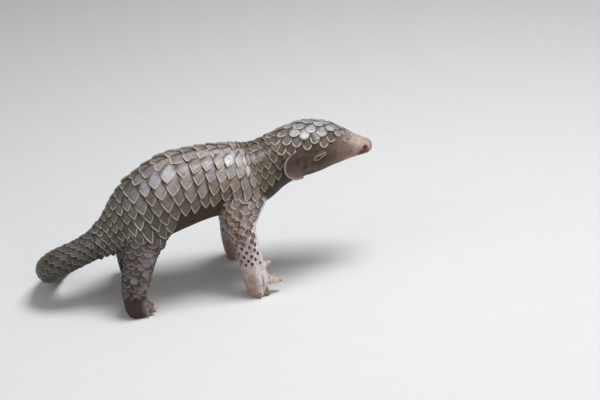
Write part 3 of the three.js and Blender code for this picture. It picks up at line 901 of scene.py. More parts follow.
@dataclass(frozen=True)
class Markings:
    """The animal's colours by place, some of them painted shade, sheen and highlight, shared by its
    skin and its scales.
    """

    snout: Colour = (0.55, 0.415, 0.355)
    nose: Colour = (0.46, 0.31, 0.24)
    streak: Colour = (0.46, 0.24, 0.16)
    nostril: Colour = (0.17, 0.042, 0.028)
    lip: Colour = (0.11, 0.055, 0.033)
    muzzle: Colour = (0.26, 0.168, 0.138)
    cheek: Colour = (0.145, 0.094, 0.080)
    # Painted shade, above and behind the eye and in the ear's hollow.
    shade: Colour = (0.070, 0.050, 0.050)
    patch: Colour = (0.050, 0.030, 0.004)
    # Partly pale skin, partly a painted highlight on the jaw's edge.
    jaw: Colour = (0.50, 0.38, 0.33)
    lid: Colour = (0.46, 0.38, 0.34)
    # Painted shade in the eye's slit and in the creases round its lids.
    slit_shade: Colour = (0.10, 0.066, 0.058)
    # The throat's and belly's colours: partly dark brown skin, partly painted shade of the
    # underside.
    throat: Colour = (0.050, 0.035, 0.026)
    belly: Colour = (0.052, 0.034, 0.023)
    # Partly the skin's own dark tone, partly painted shade in the gaps under the scales.
    gap_skin_and_shade: Colour = (0.040, 0.029, 0.023)
    ear: Colour = (0.112, 0.070, 0.058)
    # Partly the ear's pale rim, partly a painted highlight along its lower and rear edge.
    rim: Colour = (0.34, 0.25, 0.215)
    canal: Colour = (0.07, 0.025, 0.022)
    arm: Colour = (0.50, 0.405, 0.38)
    arm_edge: Colour = (0.78, 0.73, 0.76)
    paw: Colour = (0.76, 0.67, 0.655)
    toe: Colour = (0.40, 0.26, 0.21)
    # Painted shade in the folds between the toes.
    toe_fold_shade: Colour = (0.12, 0.060, 0.048)
    # The thigh's and foot's colours: partly dark brown skin, partly painted shade under the body
    # and near the ground.
    thigh: Colour = (0.10, 0.070, 0.057)
    foot: Colour = (0.045, 0.030, 0.020)
    pad: Colour = (0.24, 0.20, 0.18)
    horn: Colour = (0.60, 0.475, 0.40)
    horn_tan: Colour = (0.26, 0.175, 0.11)
    horn_tip: Colour = (0.12, 0.07, 0.045)
    taupe: Colour = (0.245, 0.194, 0.158)
    lilac: Colour = (0.31, 0.258, 0.268)
    tan: Colour = (0.26, 0.187, 0.122)
    olive: Colour = (0.17, 0.138, 0.088)
    # Umber: the neck's own colour, and partly painted shade low on the trunk's flank.
    umber: Colour = (0.088, 0.067, 0.046)
    # Partly the rump's own darker grey, partly painted shade where the light falls off towards the
    # rear.
    rump_grey_and_shade: Colour = (0.080, 0.071, 0.058)
    # Partly the tail's own blackish-grey underside, partly painted shade below it.
    dark: Colour = (0.045, 0.041, 0.035)
    crown: Colour = (0.30, 0.292, 0.282)
    bronze: Colour = (0.100, 0.064, 0.034)
    # Painted sheen: pale highlights on the scales of the upper shoulder.
    shoulder_sheen: Colour = (0.60, 0.58, 0.58)
    # Painted sheen: bluish-white highlights along the upper back and on the crown.
    sheen_highlight: Colour = (0.60, 0.62, 0.67)
    arm_scale: Colour = (0.19, 0.14, 0.10)
    arm_warm: Colour = (0.25, 0.145, 0.09)
    arm_dot: Colour = (0.085, 0.05, 0.05)
    thigh_scale: Colour = (0.078, 0.060, 0.042)
    thigh_warm: Colour = (0.11, 0.072, 0.062)

    def of_skin(self, points: Array) -> Array:
        """One colour for each of the skin's points."""
        distance, angle, out = BODY_LINE.coordinates(points)
        degrees = from_back(angle)
        colour = laid(
            # Partly the skin's own dark tone, partly painted shade under the scales.
            plain(self.gap_skin_and_shade, len(points)),
            # Partly dark skin, partly painted shade on the belly.
            (self.belly, ramp(98, 112, degrees) * ramp(70, 100, distance)),
            # Partly dark skin, partly painted shade under the throat.
            (self.throat, ramp(84, 70, distance) * ramp(96, 104, degrees)),
        )
        colour = self.on_face(distance, degrees, colour)
        for side in (RIGHT, LEFT):
            colour = self.on_muzzle(mirrored(points, side), colour)
        for side in (RIGHT, LEFT):
            colour = self.on_ear(mirrored(points, side), colour)
        for leg in LEGS:
            colour = self.on_leg(leg, points, out, colour)
        return colour

    def on_face(self, distance: Array, degrees: Array, colour: Array) -> Array:
        """The colours with the face's own laid over them, with painted shade above and behind the
        eye.

        Args:
            distance: how far back from the nose the skin's points lie.
            degrees: how far round from the middle of the head.
            colour: the colours so far.

        Returns:
            The new colours.
        """
        face = ramp(62, 50, distance)
        return laid(
            colour,
            (self.cheek, face),
            # Partly dark skin, partly painted shade under the jaw.
            (self.throat, face * ramp(16, 34, distance) * ramp(114, 138, degrees)),
            # Painted shade above and behind the eye.
            (self.shade, 0.85 * hump(47.0, 7.0, distance) * hump(76.0, 14.0, degrees)),
            (self.patch, hump(42.0, 9.0, distance) * hump(104.0, 15.0, degrees)),
            (self.muzzle, ramp(36, 25, distance + 0.10 * (degrees - 60))),
            (self.snout, ramp(26, 12, distance + 0.16 * (degrees - 60))),
            (self.nose, ramp(5, 1, distance) * ramp(110, 90, degrees)),
        )

    def on_muzzle(self, own: Array, colour: Array) -> Array:
        """The colours with one side's jaw, lip, nostril and lids laid over them, with painted shade
        in the eye's slit and a jaw that is partly painted highlight.

        Args:
            own: the points of the skin, mirrored for the left side.
            colour: the colours so far.

        Returns:
            The new colours.
        """
        for tone, shift, radii, strength in (
            # Partly pale skin, partly painted highlight on the jaw.
            (self.jaw, (-9.5, 0.0, -5.6), (5.5, 8.0, 1.9), 0.8),
            (self.streak, (-6.0, 0.0, 0.6), (4.6, 6.0, 1.3), 0.5),
            (self.lip, (-1.0, 0.0, -3.0), (4.8, 9.0, 3.4), 0.92),
            (self.nostril, (0.3, 0.0, -0.2), (2.3, 2.8, 2.4), 0.95),
        ):
            near = ramp(1.35, 0.45, near_to(own, nostril_place() + shift, radii))
            colour = laid(colour, (tone, strength * near))
        u, v, w = Eye().offsets(own)
        spread = ramp(5.6, 4.2, np.abs(u)) * (np.abs(w) < 4.0)
        line = Eye().lid_line(u)
        pale = np.maximum(hump(line, 0.55, v), hump(-line, 0.45, v)) + 0.5 * hump(2.7, 0.45, v)
        return laid(
            colour,
            # Painted shade in the slit and the creases round the lids.
            (self.slit_shade, 0.75 * spread * ramp(3.6, 2.2, np.abs(v))),
            (self.lid, np.minimum(1.0, pale) * 0.9 * spread),
        )

    def on_ear(self, own: Array, colour: Array) -> Array:
        """The colours with one ear's laid over them, with painted shade in its hollow and a pale
        rim that is partly painted highlight.

        Args:
            own: the points of the skin, mirrored where the ear is the left one.
            colour: the colours so far.

        Returns:
            The new colours.
        """
        ear = Ear()
        back, out, up = ear.own_frame(own).T
        edge = np.hypot(back / ear.half_length, up / ear.half_height)
        mask = ramp(1.22, 1.08, edge) * ramp(6.0, 4.5, np.abs(out)) * ramp(-9.5, -2.0, back)
        rim = ramp(0.78, 0.92, edge) * ear.rimmed(np.arctan2(up, back))
        return laid(
            colour,
            (self.ear, mask),
            # Pale rim: partly its own colour, partly painted highlight.
            (self.rim, mask * rim),
            # Painted shade in the hollow above the canal.
            (self.shade, 0.8 * ramp(1.3, 0.3, near_to(own, HOLLOW, (5.4, 6.0, 4.4)))),
            (self.canal, ramp(1.35, 0.6, near_to(own, CANAL, (1.7, 3.0, 1.4)))),
        )

    def on_leg(self, leg: Leg, points: Array, out: Array, colour: Array) -> Array:
        """The colours with one leg's own laid over them, with painted shade in the folds between
        its toes and, on a hind leg, partly on its thigh and foot.

        Args:
            leg: the leg.
            points: the points of the skin.
            out: how far out from the body's middle line they lie.
            colour: the colours so far.

        Returns:
            The new colours.
        """
        own = mirrored(points, leg.side)
        mark, turn, reach = leg.tube().coordinates(own)
        near = (own[:, 1] < -2) * ramp(1.0, 1.12, out) * (points[:, 2] < 76)
        near = near * (np.abs(own[:, 0] - leg.foot()[0]) < 34) * ramp(3.4, 2.8, reach)
        forward = np.sin(turn)
        if leg.fore:
            tone = laid(
                plain(self.arm, len(points)),
                (self.arm_edge, ramp(0.1, 0.6, forward)),
                (self.paw, ramp(50, 60, mark) * ramp(-0.5, 0.3, forward)),
                (self.toe, 0.8 * ramp(64, 74, mark) * ramp(0.35, -0.3, forward)),
            )
        else:
            tone = laid(
                plain(self.thigh, len(points)),
                (self.foot, ramp(46, 60, mark)),
                (self.pad, ramp(0.2, 0.8, forward) * ramp(66, 72, mark)),
            )
        # Painted shade in the folds between the toes.
        tone = laid(tone, (self.toe_fold_shade, 0.8 * self.between_toes(leg, own)))
        return laid(colour, (tone, near))

    def between_toes(self, leg: Leg, own: Array) -> Array:
        """How far points lie in the folds between a foot's toes, by their heading from its middle.

        Args:
            leg: the leg.
            own: the points, mirrored where the leg is a left one.

        Returns:
            The grades, from 0 to 1.
        """
        offset = own - leg.foot()
        heading = np.degrees(np.arctan2(offset[:, 1], offset[:, 0]))
        far = np.hypot(offset[:, 0], offset[:, 1])
        headings = np.array([toe.heading for toe in leg.toes])
        folds = hump((headings[1:] + headings[:-1])[None] / 2, 3.5, heading[:, None]).max(axis=1)
        return folds * ramp(5.5, 8.0, far) * ramp(20.0, 15.0, own[:, 2])

    def of_body_scales(
        self, distance: Array, angle: Array, random: np.random.Generator
    ) -> Array:
        """A colour for each body scale, by its place with a chance tint, painted sheen and shade
        among them, and its marks' strength.

        Args:
            distance: how far back from the nose each scale lies.
            angle: how far round the body.
            random: the source of chance.

        Returns:
            Red, green, blue and strength for each.
        """
        count = len(distance)
        degrees = from_back(angle)
        first, second, third, fourth = random.uniform(0, 1, (4, count))
        low = ramp(55, 105, degrees)
        # Where painted sheen lies on the upper shoulder.
        shoulder = hump(95.0, 14.0, distance) * hump(40.0, 26.0, degrees)
        # The band along the upper back where painted sheen lies.
        sky = hump(34.0, 17.0, degrees) * ramp(88, 100, distance) * ramp(200, 160, distance)
        head = ramp(64, 56, distance)
        # The crown's top, where painted sheen lies.
        high = head * hump(24.0, 15.0, degrees) * ramp(20, 30, distance)
        neck = ramp(54, 62, distance) * ramp(92, 82, distance)
        lowest = head * ramp(32, 46, degrees) * ramp(24, 34, distance)
        brow = head * ramp(34, 24, distance) * ramp(20, 34, degrees)
        colour = laid(
            plain(self.taupe, count),
            (self.lilac, first * (1 - 0.6 * low)),
            (self.tan, (second > 0.68) * 0.7),
            (self.olive, 0.75 * low * (0.5 + 0.5 * third)),
            # Partly umber scales, partly painted shade, low on the flank.
            (self.umber, 0.75 * ramp(60, 100, degrees) * ramp(96, 112, distance)),
            # Painted sheen on the upper shoulder.
            (self.shoulder_sheen, 0.75 * shoulder * (0.4 + 0.6 * fourth)),
            # Painted sheen along the upper back.
            (self.sheen_highlight, 0.8 * sky * fourth**1.5),
            (self.crown, head),
            # Painted sheen on the crown's top.
            (self.sheen_highlight, 0.75 * high * (0.3 + 0.7 * fourth)),
            (self.olive, neck * (0.75 + 0.25 * low)),
            (self.umber, neck * (0.6 + 0.38 * ramp(25, 60, degrees))),
            (self.bronze, 0.95 * lowest * (0.6 + 0.4 * third)),
            (self.lilac, 0.8 * brow),
            (self.snout, 0.9 * ramp(27, 15, distance)),
            # Partly darker grey scales, partly painted shade, darker towards the rear.
            (self.rump_grey_and_shade, ramp(130, 185, distance) * (0.85 + 0.15 * low)),
            # Partly dark scales, partly painted shade, on the tail's lower side.
            (self.dark, ramp(190, 222, distance) * ramp(70, 125, degrees)),
        )
        colour = colour * random.uniform(0.76, 1.24, (count, 1))
        return np.column_stack([colour, 0.25 + 0.75 * ramp(15, 32, distance)])

    def of_fore_scales(
        self, distance: Array, angle: Array, random: np.random.Generator
    ) -> Array:
        """A colour for each scale of a foreleg, dark below its elbow, and its marks' strength."""
        count = len(distance)
        first, second, third = random.uniform(0, 1, (3, count))
        lower = ramp(40, 50, distance)
        colour = laid(
            plain(self.arm_scale, count),
            (self.arm_warm, (first > 0.8) * 0.7),
            (self.lilac, (second > 0.6) * 0.5),
            (self.arm_dot, 0.9 * lower),
        )
        colour = colour * random.uniform(0.7, 1.3, (count, 1))
        return np.column_stack([colour, (0.8 + 0.2 * third) * (1 - 0.9 * lower)])

    def of_hind_scales(
        self, distance: Array, angle: Array, random: np.random.Generator
    ) -> Array:
        """A colour for each scale of a hind leg, with painted shade at its top, and its marks'
        strength.
        """
        count = len(distance)
        first, second, third = random.uniform(0, 1, (3, count))
        colour = laid(
            plain(self.thigh_scale, count),
            (self.thigh_warm, (first > 0.8) * 0.7),
            (self.lilac, (second > 0.85) * 0.5),
        )
        colour = colour * random.uniform(0.7, 1.3, (count, 1))
        # Painted shade at the leg's top, under the body's scales.
        colour = colour * (0.5 + 0.5 * ramp(6, 28, distance))[:, None]
        return np.column_stack([colour, 0.8 + 0.2 * third])

    def of_claws(self, leg: Leg, points: Array) -> Array:
        """One colour for each point of a foot's claws: pale or tan horn with a dark tip."""
        own = mirrored(points, leg.side)
        foot = leg.foot()
        colours = []
        for toe, part in zip(leg.toes, np.array_split(own, len(leg.toes))):
            root = toe.place(foot, np.array([toe.digit]))[0]
            share = np.linalg.norm(part - root, axis=1) / (toe.claw - toe.root)
            tone = self.horn_tan if toe.name in TAN_CLAWS else self.horn
            tip = (self.horn_tip, 0.8 * ramp(0.7, 1.0, share))
            colours.append(laid(plain(tone, len(part)), tip))
        return np.concatenate(colours)


class Coat(Enum):
    """The stretches of scales, each with its own lattice."""

    CROWN = "scales_crown"
    NECK = "scales_neck"
    SHOULDER = "scales_shoulder"
    TRUNK = "scales_trunk"
    TAIL = "scales_tail"
    FORELEGS = "scales_forelegs"
    HIND_LEGS = "scales_hind_legs"


class WrappedTube:
    """A tube whose surface is drawn out to the skin, so that scales can lie on it."""

    def __init__(self, tube: BentTube, skin: Piece, side: float, limit: float) -> None:
        """Casts each point of a fine grid of the tube along its normal on to the skin.

        Args:
            tube: the tube.
            skin: the finished skin.
            side: the side of the animal that the tube, written for the right, belongs to.
            limit: the farthest that a point may go, in millimetres.
        """
        self.tube = tube
        self.rings = int(tube.length) + 1
        self.sides = 120
        self.distance = np.linspace(0.0, tube.length, self.rings)
        angle = np.linspace(0.0, 2 * math.pi, self.sides, endpoint=False)
        grid = tube.point(self.distance[:, None], angle[None, :]).reshape(-1, 3)
        quads = ring_quads(self.rings, self.sides)[:, [0, 3, 2, 1]]
        guide = mesh_object("scale_guide", Shell(grid, [quads]).on_side(side))
        wrap = guide.modifiers.new("wrap", "SHRINKWRAP")
        wrap.target = skin
        wrap.wrap_method = "PROJECT"
        wrap.use_negative_direction = True
        wrap.use_positive_direction = True
        wrap.project_limit = limit * MILLIMETRE
        graph = bpy.context.evaluated_depsgraph_get()
        drawn = points_of(guide.evaluated_get(graph).data) - points_of(guide.data)
        offset = np.sum(drawn * normals_of(guide.data), axis=1)
        bpy.data.objects.remove(guide)
        self.raw = offset.reshape(self.rings, self.sides)
        self.offset = self.softened(self.raw)

    def softened(self, offset: Array) -> Array:
        """The offsets averaged with their neighbours along and round the tube, several times."""
        soft = offset.copy()
        for _ in range(8):
            round_it = (np.roll(soft, 1, 1) + 2 * soft + np.roll(soft, -1, 1)) / 4
            padded = np.vstack([round_it[:1], round_it, round_it[-1:]])
            soft = (padded[:-2] + 2 * padded[1:-1] + padded[2:]) / 4
        return soft

    def sample(self, field: Array, distance: Array, angle: Array) -> Array:
        """The field's values between its grid points, by bilinear interpolation that wraps."""
        row = np.clip(distance / self.tube.length * (self.rings - 1), 0, self.rings - 1.001)
        column = np.mod(angle / (2 * math.pi) * self.sides, self.sides)
        top, left = np.floor(row).astype(int), np.floor(column).astype(int) % self.sides
        down, right = row - top, column - np.floor(column)
        below, beside = top + 1, (left + 1) % self.sides
        upper = field[top, left] * (1 - right) + field[top, beside] * right
        lower = field[below, left] * (1 - right) + field[below, beside] * right
        return upper * (1 - down) + lower * down

    def point(self, distance: Array, angle: Array, lift: Array) -> Array:
        """Points a height above the drawn-out surface."""
        return self.tube.point(distance, angle, self.sample(self.offset, distance, angle) + lift)

    def arc(self, distance: Array, angle: Array) -> Array:
        """Millimetres round the surface for each radian."""
        step = 0.02
        ahead = self.point(distance, angle + step, 0.0)
        behind = self.point(distance, angle - step, 0.0)
        return np.linalg.norm(ahead - behind, axis=-1) / (2 * step)


@dataclass(frozen=True)
class ScaleForm:
    """The form of one kind of scale: a rounded rhomb that rises from its root to its free tip.

    Heights are in millimetres: its thickness, the root's height over the skin, the rise to the
    tip, the tilt up to its rear, the dome across it and the cup of its rim. Half its width and
    half its length are shares of the lattice's spacing, with shares of their own for scales
    that point down the flank. The root reaches on under its neighbours by the overlap, jitter
    is the spread of chance, flat_back lowers scales along the spine, and a scale that its cover
    makes smaller than the smallest is left out. The free edges lose edge_round of the thickness,
    the underside sinks by hub_drop of the rise, and the skin lies in skin_range off the tube.
    """

    roundness: float
    thickness: float
    rise: float
    root_height: float
    dome: float
    wide: float = 0.53
    long: float = 1.0
    overlap: float = 0.4
    jitter: float = 0.035
    wide_down: float = 0.55
    long_down: float = 1.05
    tilt: float = 0.0
    flat_back: float = 0.0
    cup: float = 0.0
    smallest: float = 0.55
    edge_round: float = 0.42
    hub_drop: float = 0.3
    skin_range: tuple[float, float] = (-1.6, 9.0)
    knots: tuple[float, ...] = (-1.0, -0.45, 0.1, 0.55, 0.84, 1.0)

    def template(self) -> tuple[Array, Array, list[Array]]:
        """Top grid, bottom rim and a hub below, as rhomb coordinates with their faces.

        Returns:
            The rhomb's own coordinates p and q of every point as rows, -1 to 1 towards its two
            rear edges, 1 for points of the top and 0 below, and the faces.
        """
        size = len(self.knots)
        p, q = np.meshgrid(np.array(self.knots), np.array(self.knots), indexing="ij")
        grid = np.stack([p.ravel(), q.ravel()], -1)
        number = np.arange(size * size).reshape(size, size)
        rim = np.concatenate([number[:-1, 0], number[-1, :-1], number[:0:-1, -1], number[0, :0:-1]])
        lower = size * size + np.arange(len(rim))
        places = np.concatenate([grid, grid[rim], [[0.0, 0.0]]])
        on_top = np.concatenate([np.ones(size * size), np.zeros(len(rim) + 1)])
        top = np.stack([number[:-1, :-1], number[1:, :-1], number[1:, 1:], number[:-1, 1:]], -1)
        turn = np.roll(np.arange(len(rim)), -1)
        walls = np.stack([rim, lower, lower[turn], rim[turn]], -1)
        floor = np.stack([np.full(len(rim), len(places) - 1), lower[turn], lower], -1)
        return places, on_top, [top.reshape(-1, 4), walls, floor]


def ring_marks(start: float, stop: float, pitch: Callable[[Array], Array]) -> Array:
    """Distances from start to stop, each a pitch beyond the one before."""
    marks = [start]
    while marks[-1] < stop:
        marks.append(marks[-1] + float(pitch(np.array(marks[-1]))))
    return np.array(marks)


@dataclass
class ScaleCoat:
    """A lattice of overlapping scales on a wrapped tube.

    It has a number around in each ring, half a scale round in rings of odd parity. The rules
    give the rings' pitch, each scale's size, its colour, how far its ring leans back and how
    many degrees its tip turns down. The strip is the part of the bake map that it takes.
    """

    surface: WrappedTube
    form: ScaleForm
    rings: Array
    parity: int
    around: int
    pitch: Callable[[Array], Array]
    cover: Rule
    tint: Tint
    lean: Rule
    turn: Rule
    seed: int
    side: float = RIGHT
    strip: tuple[float, float] = (0.0, 1.0)

    def roots(self) -> tuple[Array, Array, Array]:
        """The scales' places: every other ring is set half a scale round.

        Returns:
            The distance, the angle and the ring pitch of each scale.
        """
        ring = np.arange(len(self.rings)) + self.parity
        column = np.arange(self.around)
        angle = (column[None, :] + 0.5 * (ring[:, None] % 2)) / self.around * 2 * math.pi
        distance = np.repeat(self.rings, self.around)
        return distance, angle.ravel(), self.pitch(distance)

    def shell(self) -> tuple[Shell, dict[str, Array]]:
        """Every scale's points worked out at once on the surface.

        A scale's point at p, q lies (p' - q') / 2 of its width across and (p' + q') / 2 of its
        length towards its tip, where p' = p sqrt(1 - k q^2 / 2) and q' alike round the rhomb off.
        Its height is the root's height plus the rise times the share of the way to the tip, plus
        the tilt times the share of the way to its rear, plus a dome across it or a raised rim,
        less a rounding close to its free edges.

        Returns:
            The shell and the fields that its points carry.
        """
        form, random = self.form, np.random.default_rng(self.seed)
        distance, angle, pitch = self.roots()
        pitch = pitch * (1 + self.lean(distance + 0.5, angle) - self.lean(distance - 0.5, angle))
        distance = distance + self.lean(distance, angle)
        size = self.cover(distance, angle)
        raw = self.surface.sample(self.surface.raw, distance, angle)
        kept = (size > form.smallest) & (raw > form.skin_range[0]) & (raw < form.skin_range[1])
        distance, angle, pitch, size = (part[kept] for part in (distance, angle, pitch, size))
        count = len(distance)
        arc = self.surface.arc(distance, angle)
        width = arc * 2 * math.pi / self.around
        turn = np.radians(self.turn(distance, angle)) * np.sign(np.sin(angle))
        twist = random.normal(0, 1.6 * form.jitter, count) - turn
        round_it = np.sin(turn) ** 2
        half_width = form.wide * width * (1 - round_it)
        half_width = half_width + form.wide_down * 2 * pitch * round_it
        half_length = form.long * pitch * (1 - round_it)
        half_length = half_length + form.long_down * width / 2 * round_it
        distance = distance + random.normal(0, 1.4 * form.jitter, count) * pitch
        angle = angle + random.normal(0, form.jitter, count) * width / arc
        lift = np.clip(random.normal(1.0, 0.15, count), 0.7, 1.4) * size**0.7
        lift = lift * (1 - form.flat_back * ramp(40, 4, from_back(angle)))
        stretch = np.clip(random.normal(1.0, form.jitter, count), 0.86, 1.14) * np.sqrt(size)

        places, on_top, faces = form.template()
        p, q = places[:, 0], places[:, 1]
        k = form.roundness
        corner = math.sqrt(1 - k / 2)
        p_round = p * np.sqrt(1 - k * q**2 / 2) / corner
        q_round = q * np.sqrt(1 - k * p**2 / 2) / corner
        across = (p_round - q_round) / 2
        onward = (p_round + q_round) / 2
        onward = np.where(onward < 0, onward * (1 + form.overlap), onward)
        x = across[None, :] * (half_width * stretch)[:, None]
        y = onward[None, :] * (half_length * stretch)[:, None]
        share = (onward[None, :] + 1.0) / 2 + 0.0 * x
        free = ramp(0.8, 1.0, np.maximum(p, q))
        domed = form.dome * (1 - np.minimum(1.0, across**2 * 1.6)) * ramp(-1.0, 0.4, onward)
        rim = form.cup * ramp(0.3, 0.9, np.maximum(p, q))
        height = form.root_height + form.rise * share + (domed + rim)[None, :]
        cosine, sine = np.cos(twist)[:, None], np.sin(twist)[:, None]
        rear = (y * cosine + x * sine) / pitch[:, None]
        height = (height + form.tilt * (np.clip(rear, -1.0, 1.0) + 1.0) / 2) * lift[:, None]
        worn = form.edge_round * free
        height = height - (worn * form.thickness)[None, :]
        height = height - ((1 - on_top) * form.thickness * (1 - worn))[None, :]
        height[:, -1] -= form.hub_drop * form.rise
        out_distance = distance[:, None] + y * cosine + x * sine
        out_angle = angle[:, None] + (x * cosine - y * sine) / arc[:, None]
        points = self.surface.point(out_distance, out_angle, height).reshape(-1, 3)
        points[:, 2] = np.maximum(points[:, 2], OFF_FLOOR)
        starts = (np.arange(count) * len(p))[:, None, None]
        joined = [(part[None] + starts).reshape(-1, part.shape[1]) for part in faces]
        shell = Shell(points, joined).outward().on_side(self.side)

        low, high = self.strip
        beside = low + (high - low) * np.mod(angle / (2 * math.pi), 1.0)
        root = np.stack([distance / self.surface.tube.length, beside], -1)
        bake = (root * 0.99)[:, None, :] + 0.0015 * (places[None] + 1)
        rearmost = (np.sin(angle) >= 0)[:, None, None]
        plate = (np.where(rearmost, places[None], places[None, :, ::-1]) + 1) / 2
        tint = np.repeat(self.tint(distance, angle, random), len(p), axis=0)
        fields = {"OFBake": bake.reshape(-1, 2), "Plate": plate.reshape(-1, 2), "Marking": tint}
        return shell, fields


def scale_piece(coat: Coat, parts: Sequence[tuple[Shell, dict[str, Array]]]) -> Piece:
    """One object from one or more lattices of scales.

    Args:
        coat: which stretch it is.
        parts: shells with the fields that their points carry.

    Returns:
        The object.
    """
    piece = mesh_object(coat.value, Shell.joined([shell for shell, _ in parts]))
    fields = {name: np.concatenate([field[name] for _, field in parts]) for name in parts[0][1]}
    unwrap(piece.data, "Plate", fields["Plate"])
    unwrap(piece.data, "OFBake", fields["OFBake"])
    paint(piece.data, "Marking", fields["Marking"])
    piece.data.set_sharp_from_angle(angle=math.radians(50))
    return piece


class NodeBench:
    """A short way to lay out one node tree."""

    def __init__(self, tree: Tree) -> None:
        """Takes the tree to work on."""
        self.tree = tree

    def add(self, kind: str, inputs: Inputs | None = None, **settings: object) -> Node:
        """A new node of a kind, with its properties set and its inputs filled."""
        node = self.tree.nodes.new(kind)
        for name, value in settings.items():
            setattr(node, name, value)
        self.fill(node, inputs or {})
        return node

    def fill(self, node: Node, inputs: Inputs) -> None:
        """Wires each named input of a node, or sets its number or colour."""
        for name, value in inputs.items():
            socket = node.inputs[name]
            if isinstance(value, Socket):
                self.tree.links.new(value, socket)
            elif socket.type == "RGBA":
                socket.default_value = (*value, 1.0)
            else:
                socket.default_value = value

    def math(self, operation: str, first: object, second: object = 0.0) -> Socket:
        """The output of a Math node."""
        return self.add("ShaderNodeMath", {0: first, 1: second}, operation=operation).outputs[0]

    def sum(self, first: object, second: object, share: float = 1.0) -> Socket:
        """The first value and a share of the second."""
        part = second if share == 1.0 else self.math("MULTIPLY", second, share)
        return self.math("ADD", first, part)

    def blend(self, share: object, first: object, second: object, kind: str = "MIX") -> Socket:
        """The output of a colour mix."""
        inputs = {0: share, 6: first, 7: second}
        settings = {"data_type": "RGBA", "blend_type": kind, "clamp_factor": True}
        return self.add("ShaderNodeMix", inputs, **settings).outputs[2]

    def times(self, first: object, second: object) -> Socket:
        """A colour multiplied by a colour or a value."""
        return self.blend(1.0, first, second, "MULTIPLY")

    def step(
        self, value: object, low: float, high: float, to: tuple[float, float] = (0.0, 1.0)
    ) -> Socket:
        """A smooth step of a value between two limits."""
        names = ("Value", "From Min", "From Max", "To Min", "To Max")
        inputs = dict(zip(names, (value, low, high, *to)))
        node = self.add("ShaderNodeMapRange", inputs, interpolation_type="SMOOTHSTEP")
        return node.outputs["Result"]

    def noise(self, where: object, scale: object, detail: float = 3.0) -> Socket:
        """The value of a noise."""
        inputs = {"Vector": where, "Scale": scale, "Detail": detail}
        return self.add("ShaderNodeTexNoise", inputs).outputs["Fac"]

    def group(self, tree: Tree, inputs: Inputs) -> Sequence[Socket]:
        """The outputs of a node group placed with its own inputs."""
        return self.add("ShaderNodeGroup", inputs, node_tree=tree).outputs

    def bump(self, height: Socket, strength: float, distance: float) -> Socket:
        """The normal of a bump."""
        inputs = {"Height": height, "Strength": strength, "Distance": distance}
        return self.add("ShaderNodeBump", inputs).outputs["Normal"]

    def colours(self, which: str = "Color") -> Socket:
        """The colours that the points carry, or their fourth value, Alpha."""
        return self.add("ShaderNodeVertexColor", layer_name="Marking").outputs[which]

    def here(self) -> Socket:
        """Object coordinates."""
        return self.add("ShaderNodeTexCoord").outputs["Object"]


def new_group(
    name: str, inputs: dict[str, str], outputs: Sequence[str]
) -> tuple[NodeBench, Sequence[Socket], Node]:
    """A shader node group with named sockets.

    Args:
        name: the group's name.
        inputs: names going in, each with the kind of its socket.
        outputs: names coming out, values unless they are Stain, a colour.

    Returns:
        The group's bench, the sockets that bring its inputs and the node that takes its outputs.
    """
    tree = bpy.data.node_groups.new(name, "ShaderNodeTree")
    kinds = {label: "Color" if label == "Stain" else "Float" for label in outputs}
    for way, sockets in (("INPUT", inputs), ("OUTPUT", kinds)):
        for label, kind in sockets.items():
            tree.interface.new_socket(name=label, in_out=way, socket_type=f"NodeSocket{kind}")
    bench = NodeBench(tree)
    return bench, bench.add("NodeGroupInput").outputs, bench.add("NodeGroupOutput")


def mottle_group() -> Tree:
    """Cloudy variation: a value round 1, a fine height, and a stain that warms or cools."""
    inputs = {"Vector": "Vector", "Scale": "Float"}
    bench, source, sink = new_group("mottle", inputs, ("Value", "Height", "Stain"))
    where, scale = source["Vector"], source["Scale"]
    fine = bench.noise(where, bench.math("MULTIPLY", scale, 4.3), 3.0)
    total = bench.sum(bench.noise(where, scale, 4.0), fine, 0.5)
    shift = {0: where, 1: (0.37, 0.71, 0.13)}
    shifted = bench.add("ShaderNodeVectorMath", shift, operation="ADD").outputs["Vector"]
    hue = bench.noise(shifted, bench.math("MULTIPLY", scale, 1.1), 2.0)
    warm, cool = (1.07, 0.98, 0.88), (0.95, 0.995, 1.05)
    out = {
        "Value": bench.step(total, 0.45, 1.05, (0.72, 1.28)),
        "Height": fine,
        "Stain": bench.blend(bench.step(hue, 0.38, 0.62), warm, cool),
    }
    bench.fill(sink, out)
    return bench.tree


def scale_group() -> Tree:
    """Marks on one scale from its own map: pale free margin, paler rear, painted shade at its root,
    and ridges.
    """
    inputs = {"Map": "Vector"} | dict.fromkeys(("Noise", "Width", "Rings", "Skew"), "Float")
    outputs = ("Margin", "Rear", "RootShade", "Ridges")
    bench, source, sink = new_group("scale_marks", inputs, outputs)
    split = bench.add("ShaderNodeSeparateXYZ", {0: source["Map"]}).outputs
    x, y, width = split["X"], split["Y"], source["Width"]
    jitter = bench.math("SUBTRACT", source["Noise"], 0.5)
    nearest = bench.math("MAXIMUM", bench.math("SUBTRACT", x, source["Skew"]), y)
    ragged = bench.sum(nearest, jitter, 0.10)
    past = bench.sum(bench.math("SUBTRACT", ragged, 1.0), width)
    inner = bench.math("DIVIDE", past, bench.math("MULTIPLY", width, 0.6))
    front = bench.sum(bench.math("MINIMUM", x, y), jitter, 0.1)
    across = bench.math("MULTIPLY", bench.math("SUBTRACT", x, y), 46.0)
    wave = bench.math("SINE", bench.sum(across, source["Noise"], 5.0))
    rings = bench.math("SINE", bench.math("MULTIPLY", ragged, 52.0))
    rings = bench.math("MULTIPLY", rings, source["Rings"])
    out = {
        "Margin": bench.step(inner, 0.0, 1.0),
        "Rear": bench.step(bench.sum(bench.sum(x, y), jitter), 1.15, 2.0),
        # Painted shade along the scale's front, just under the free edge of the scale above.
        "RootShade": bench.step(front, 0.10, 0.40, (1.0, 0.0)),
        "Ridges": bench.sum(rings, wave, 0.3),
    }
    bench.fill(sink, out)
    return bench.tree


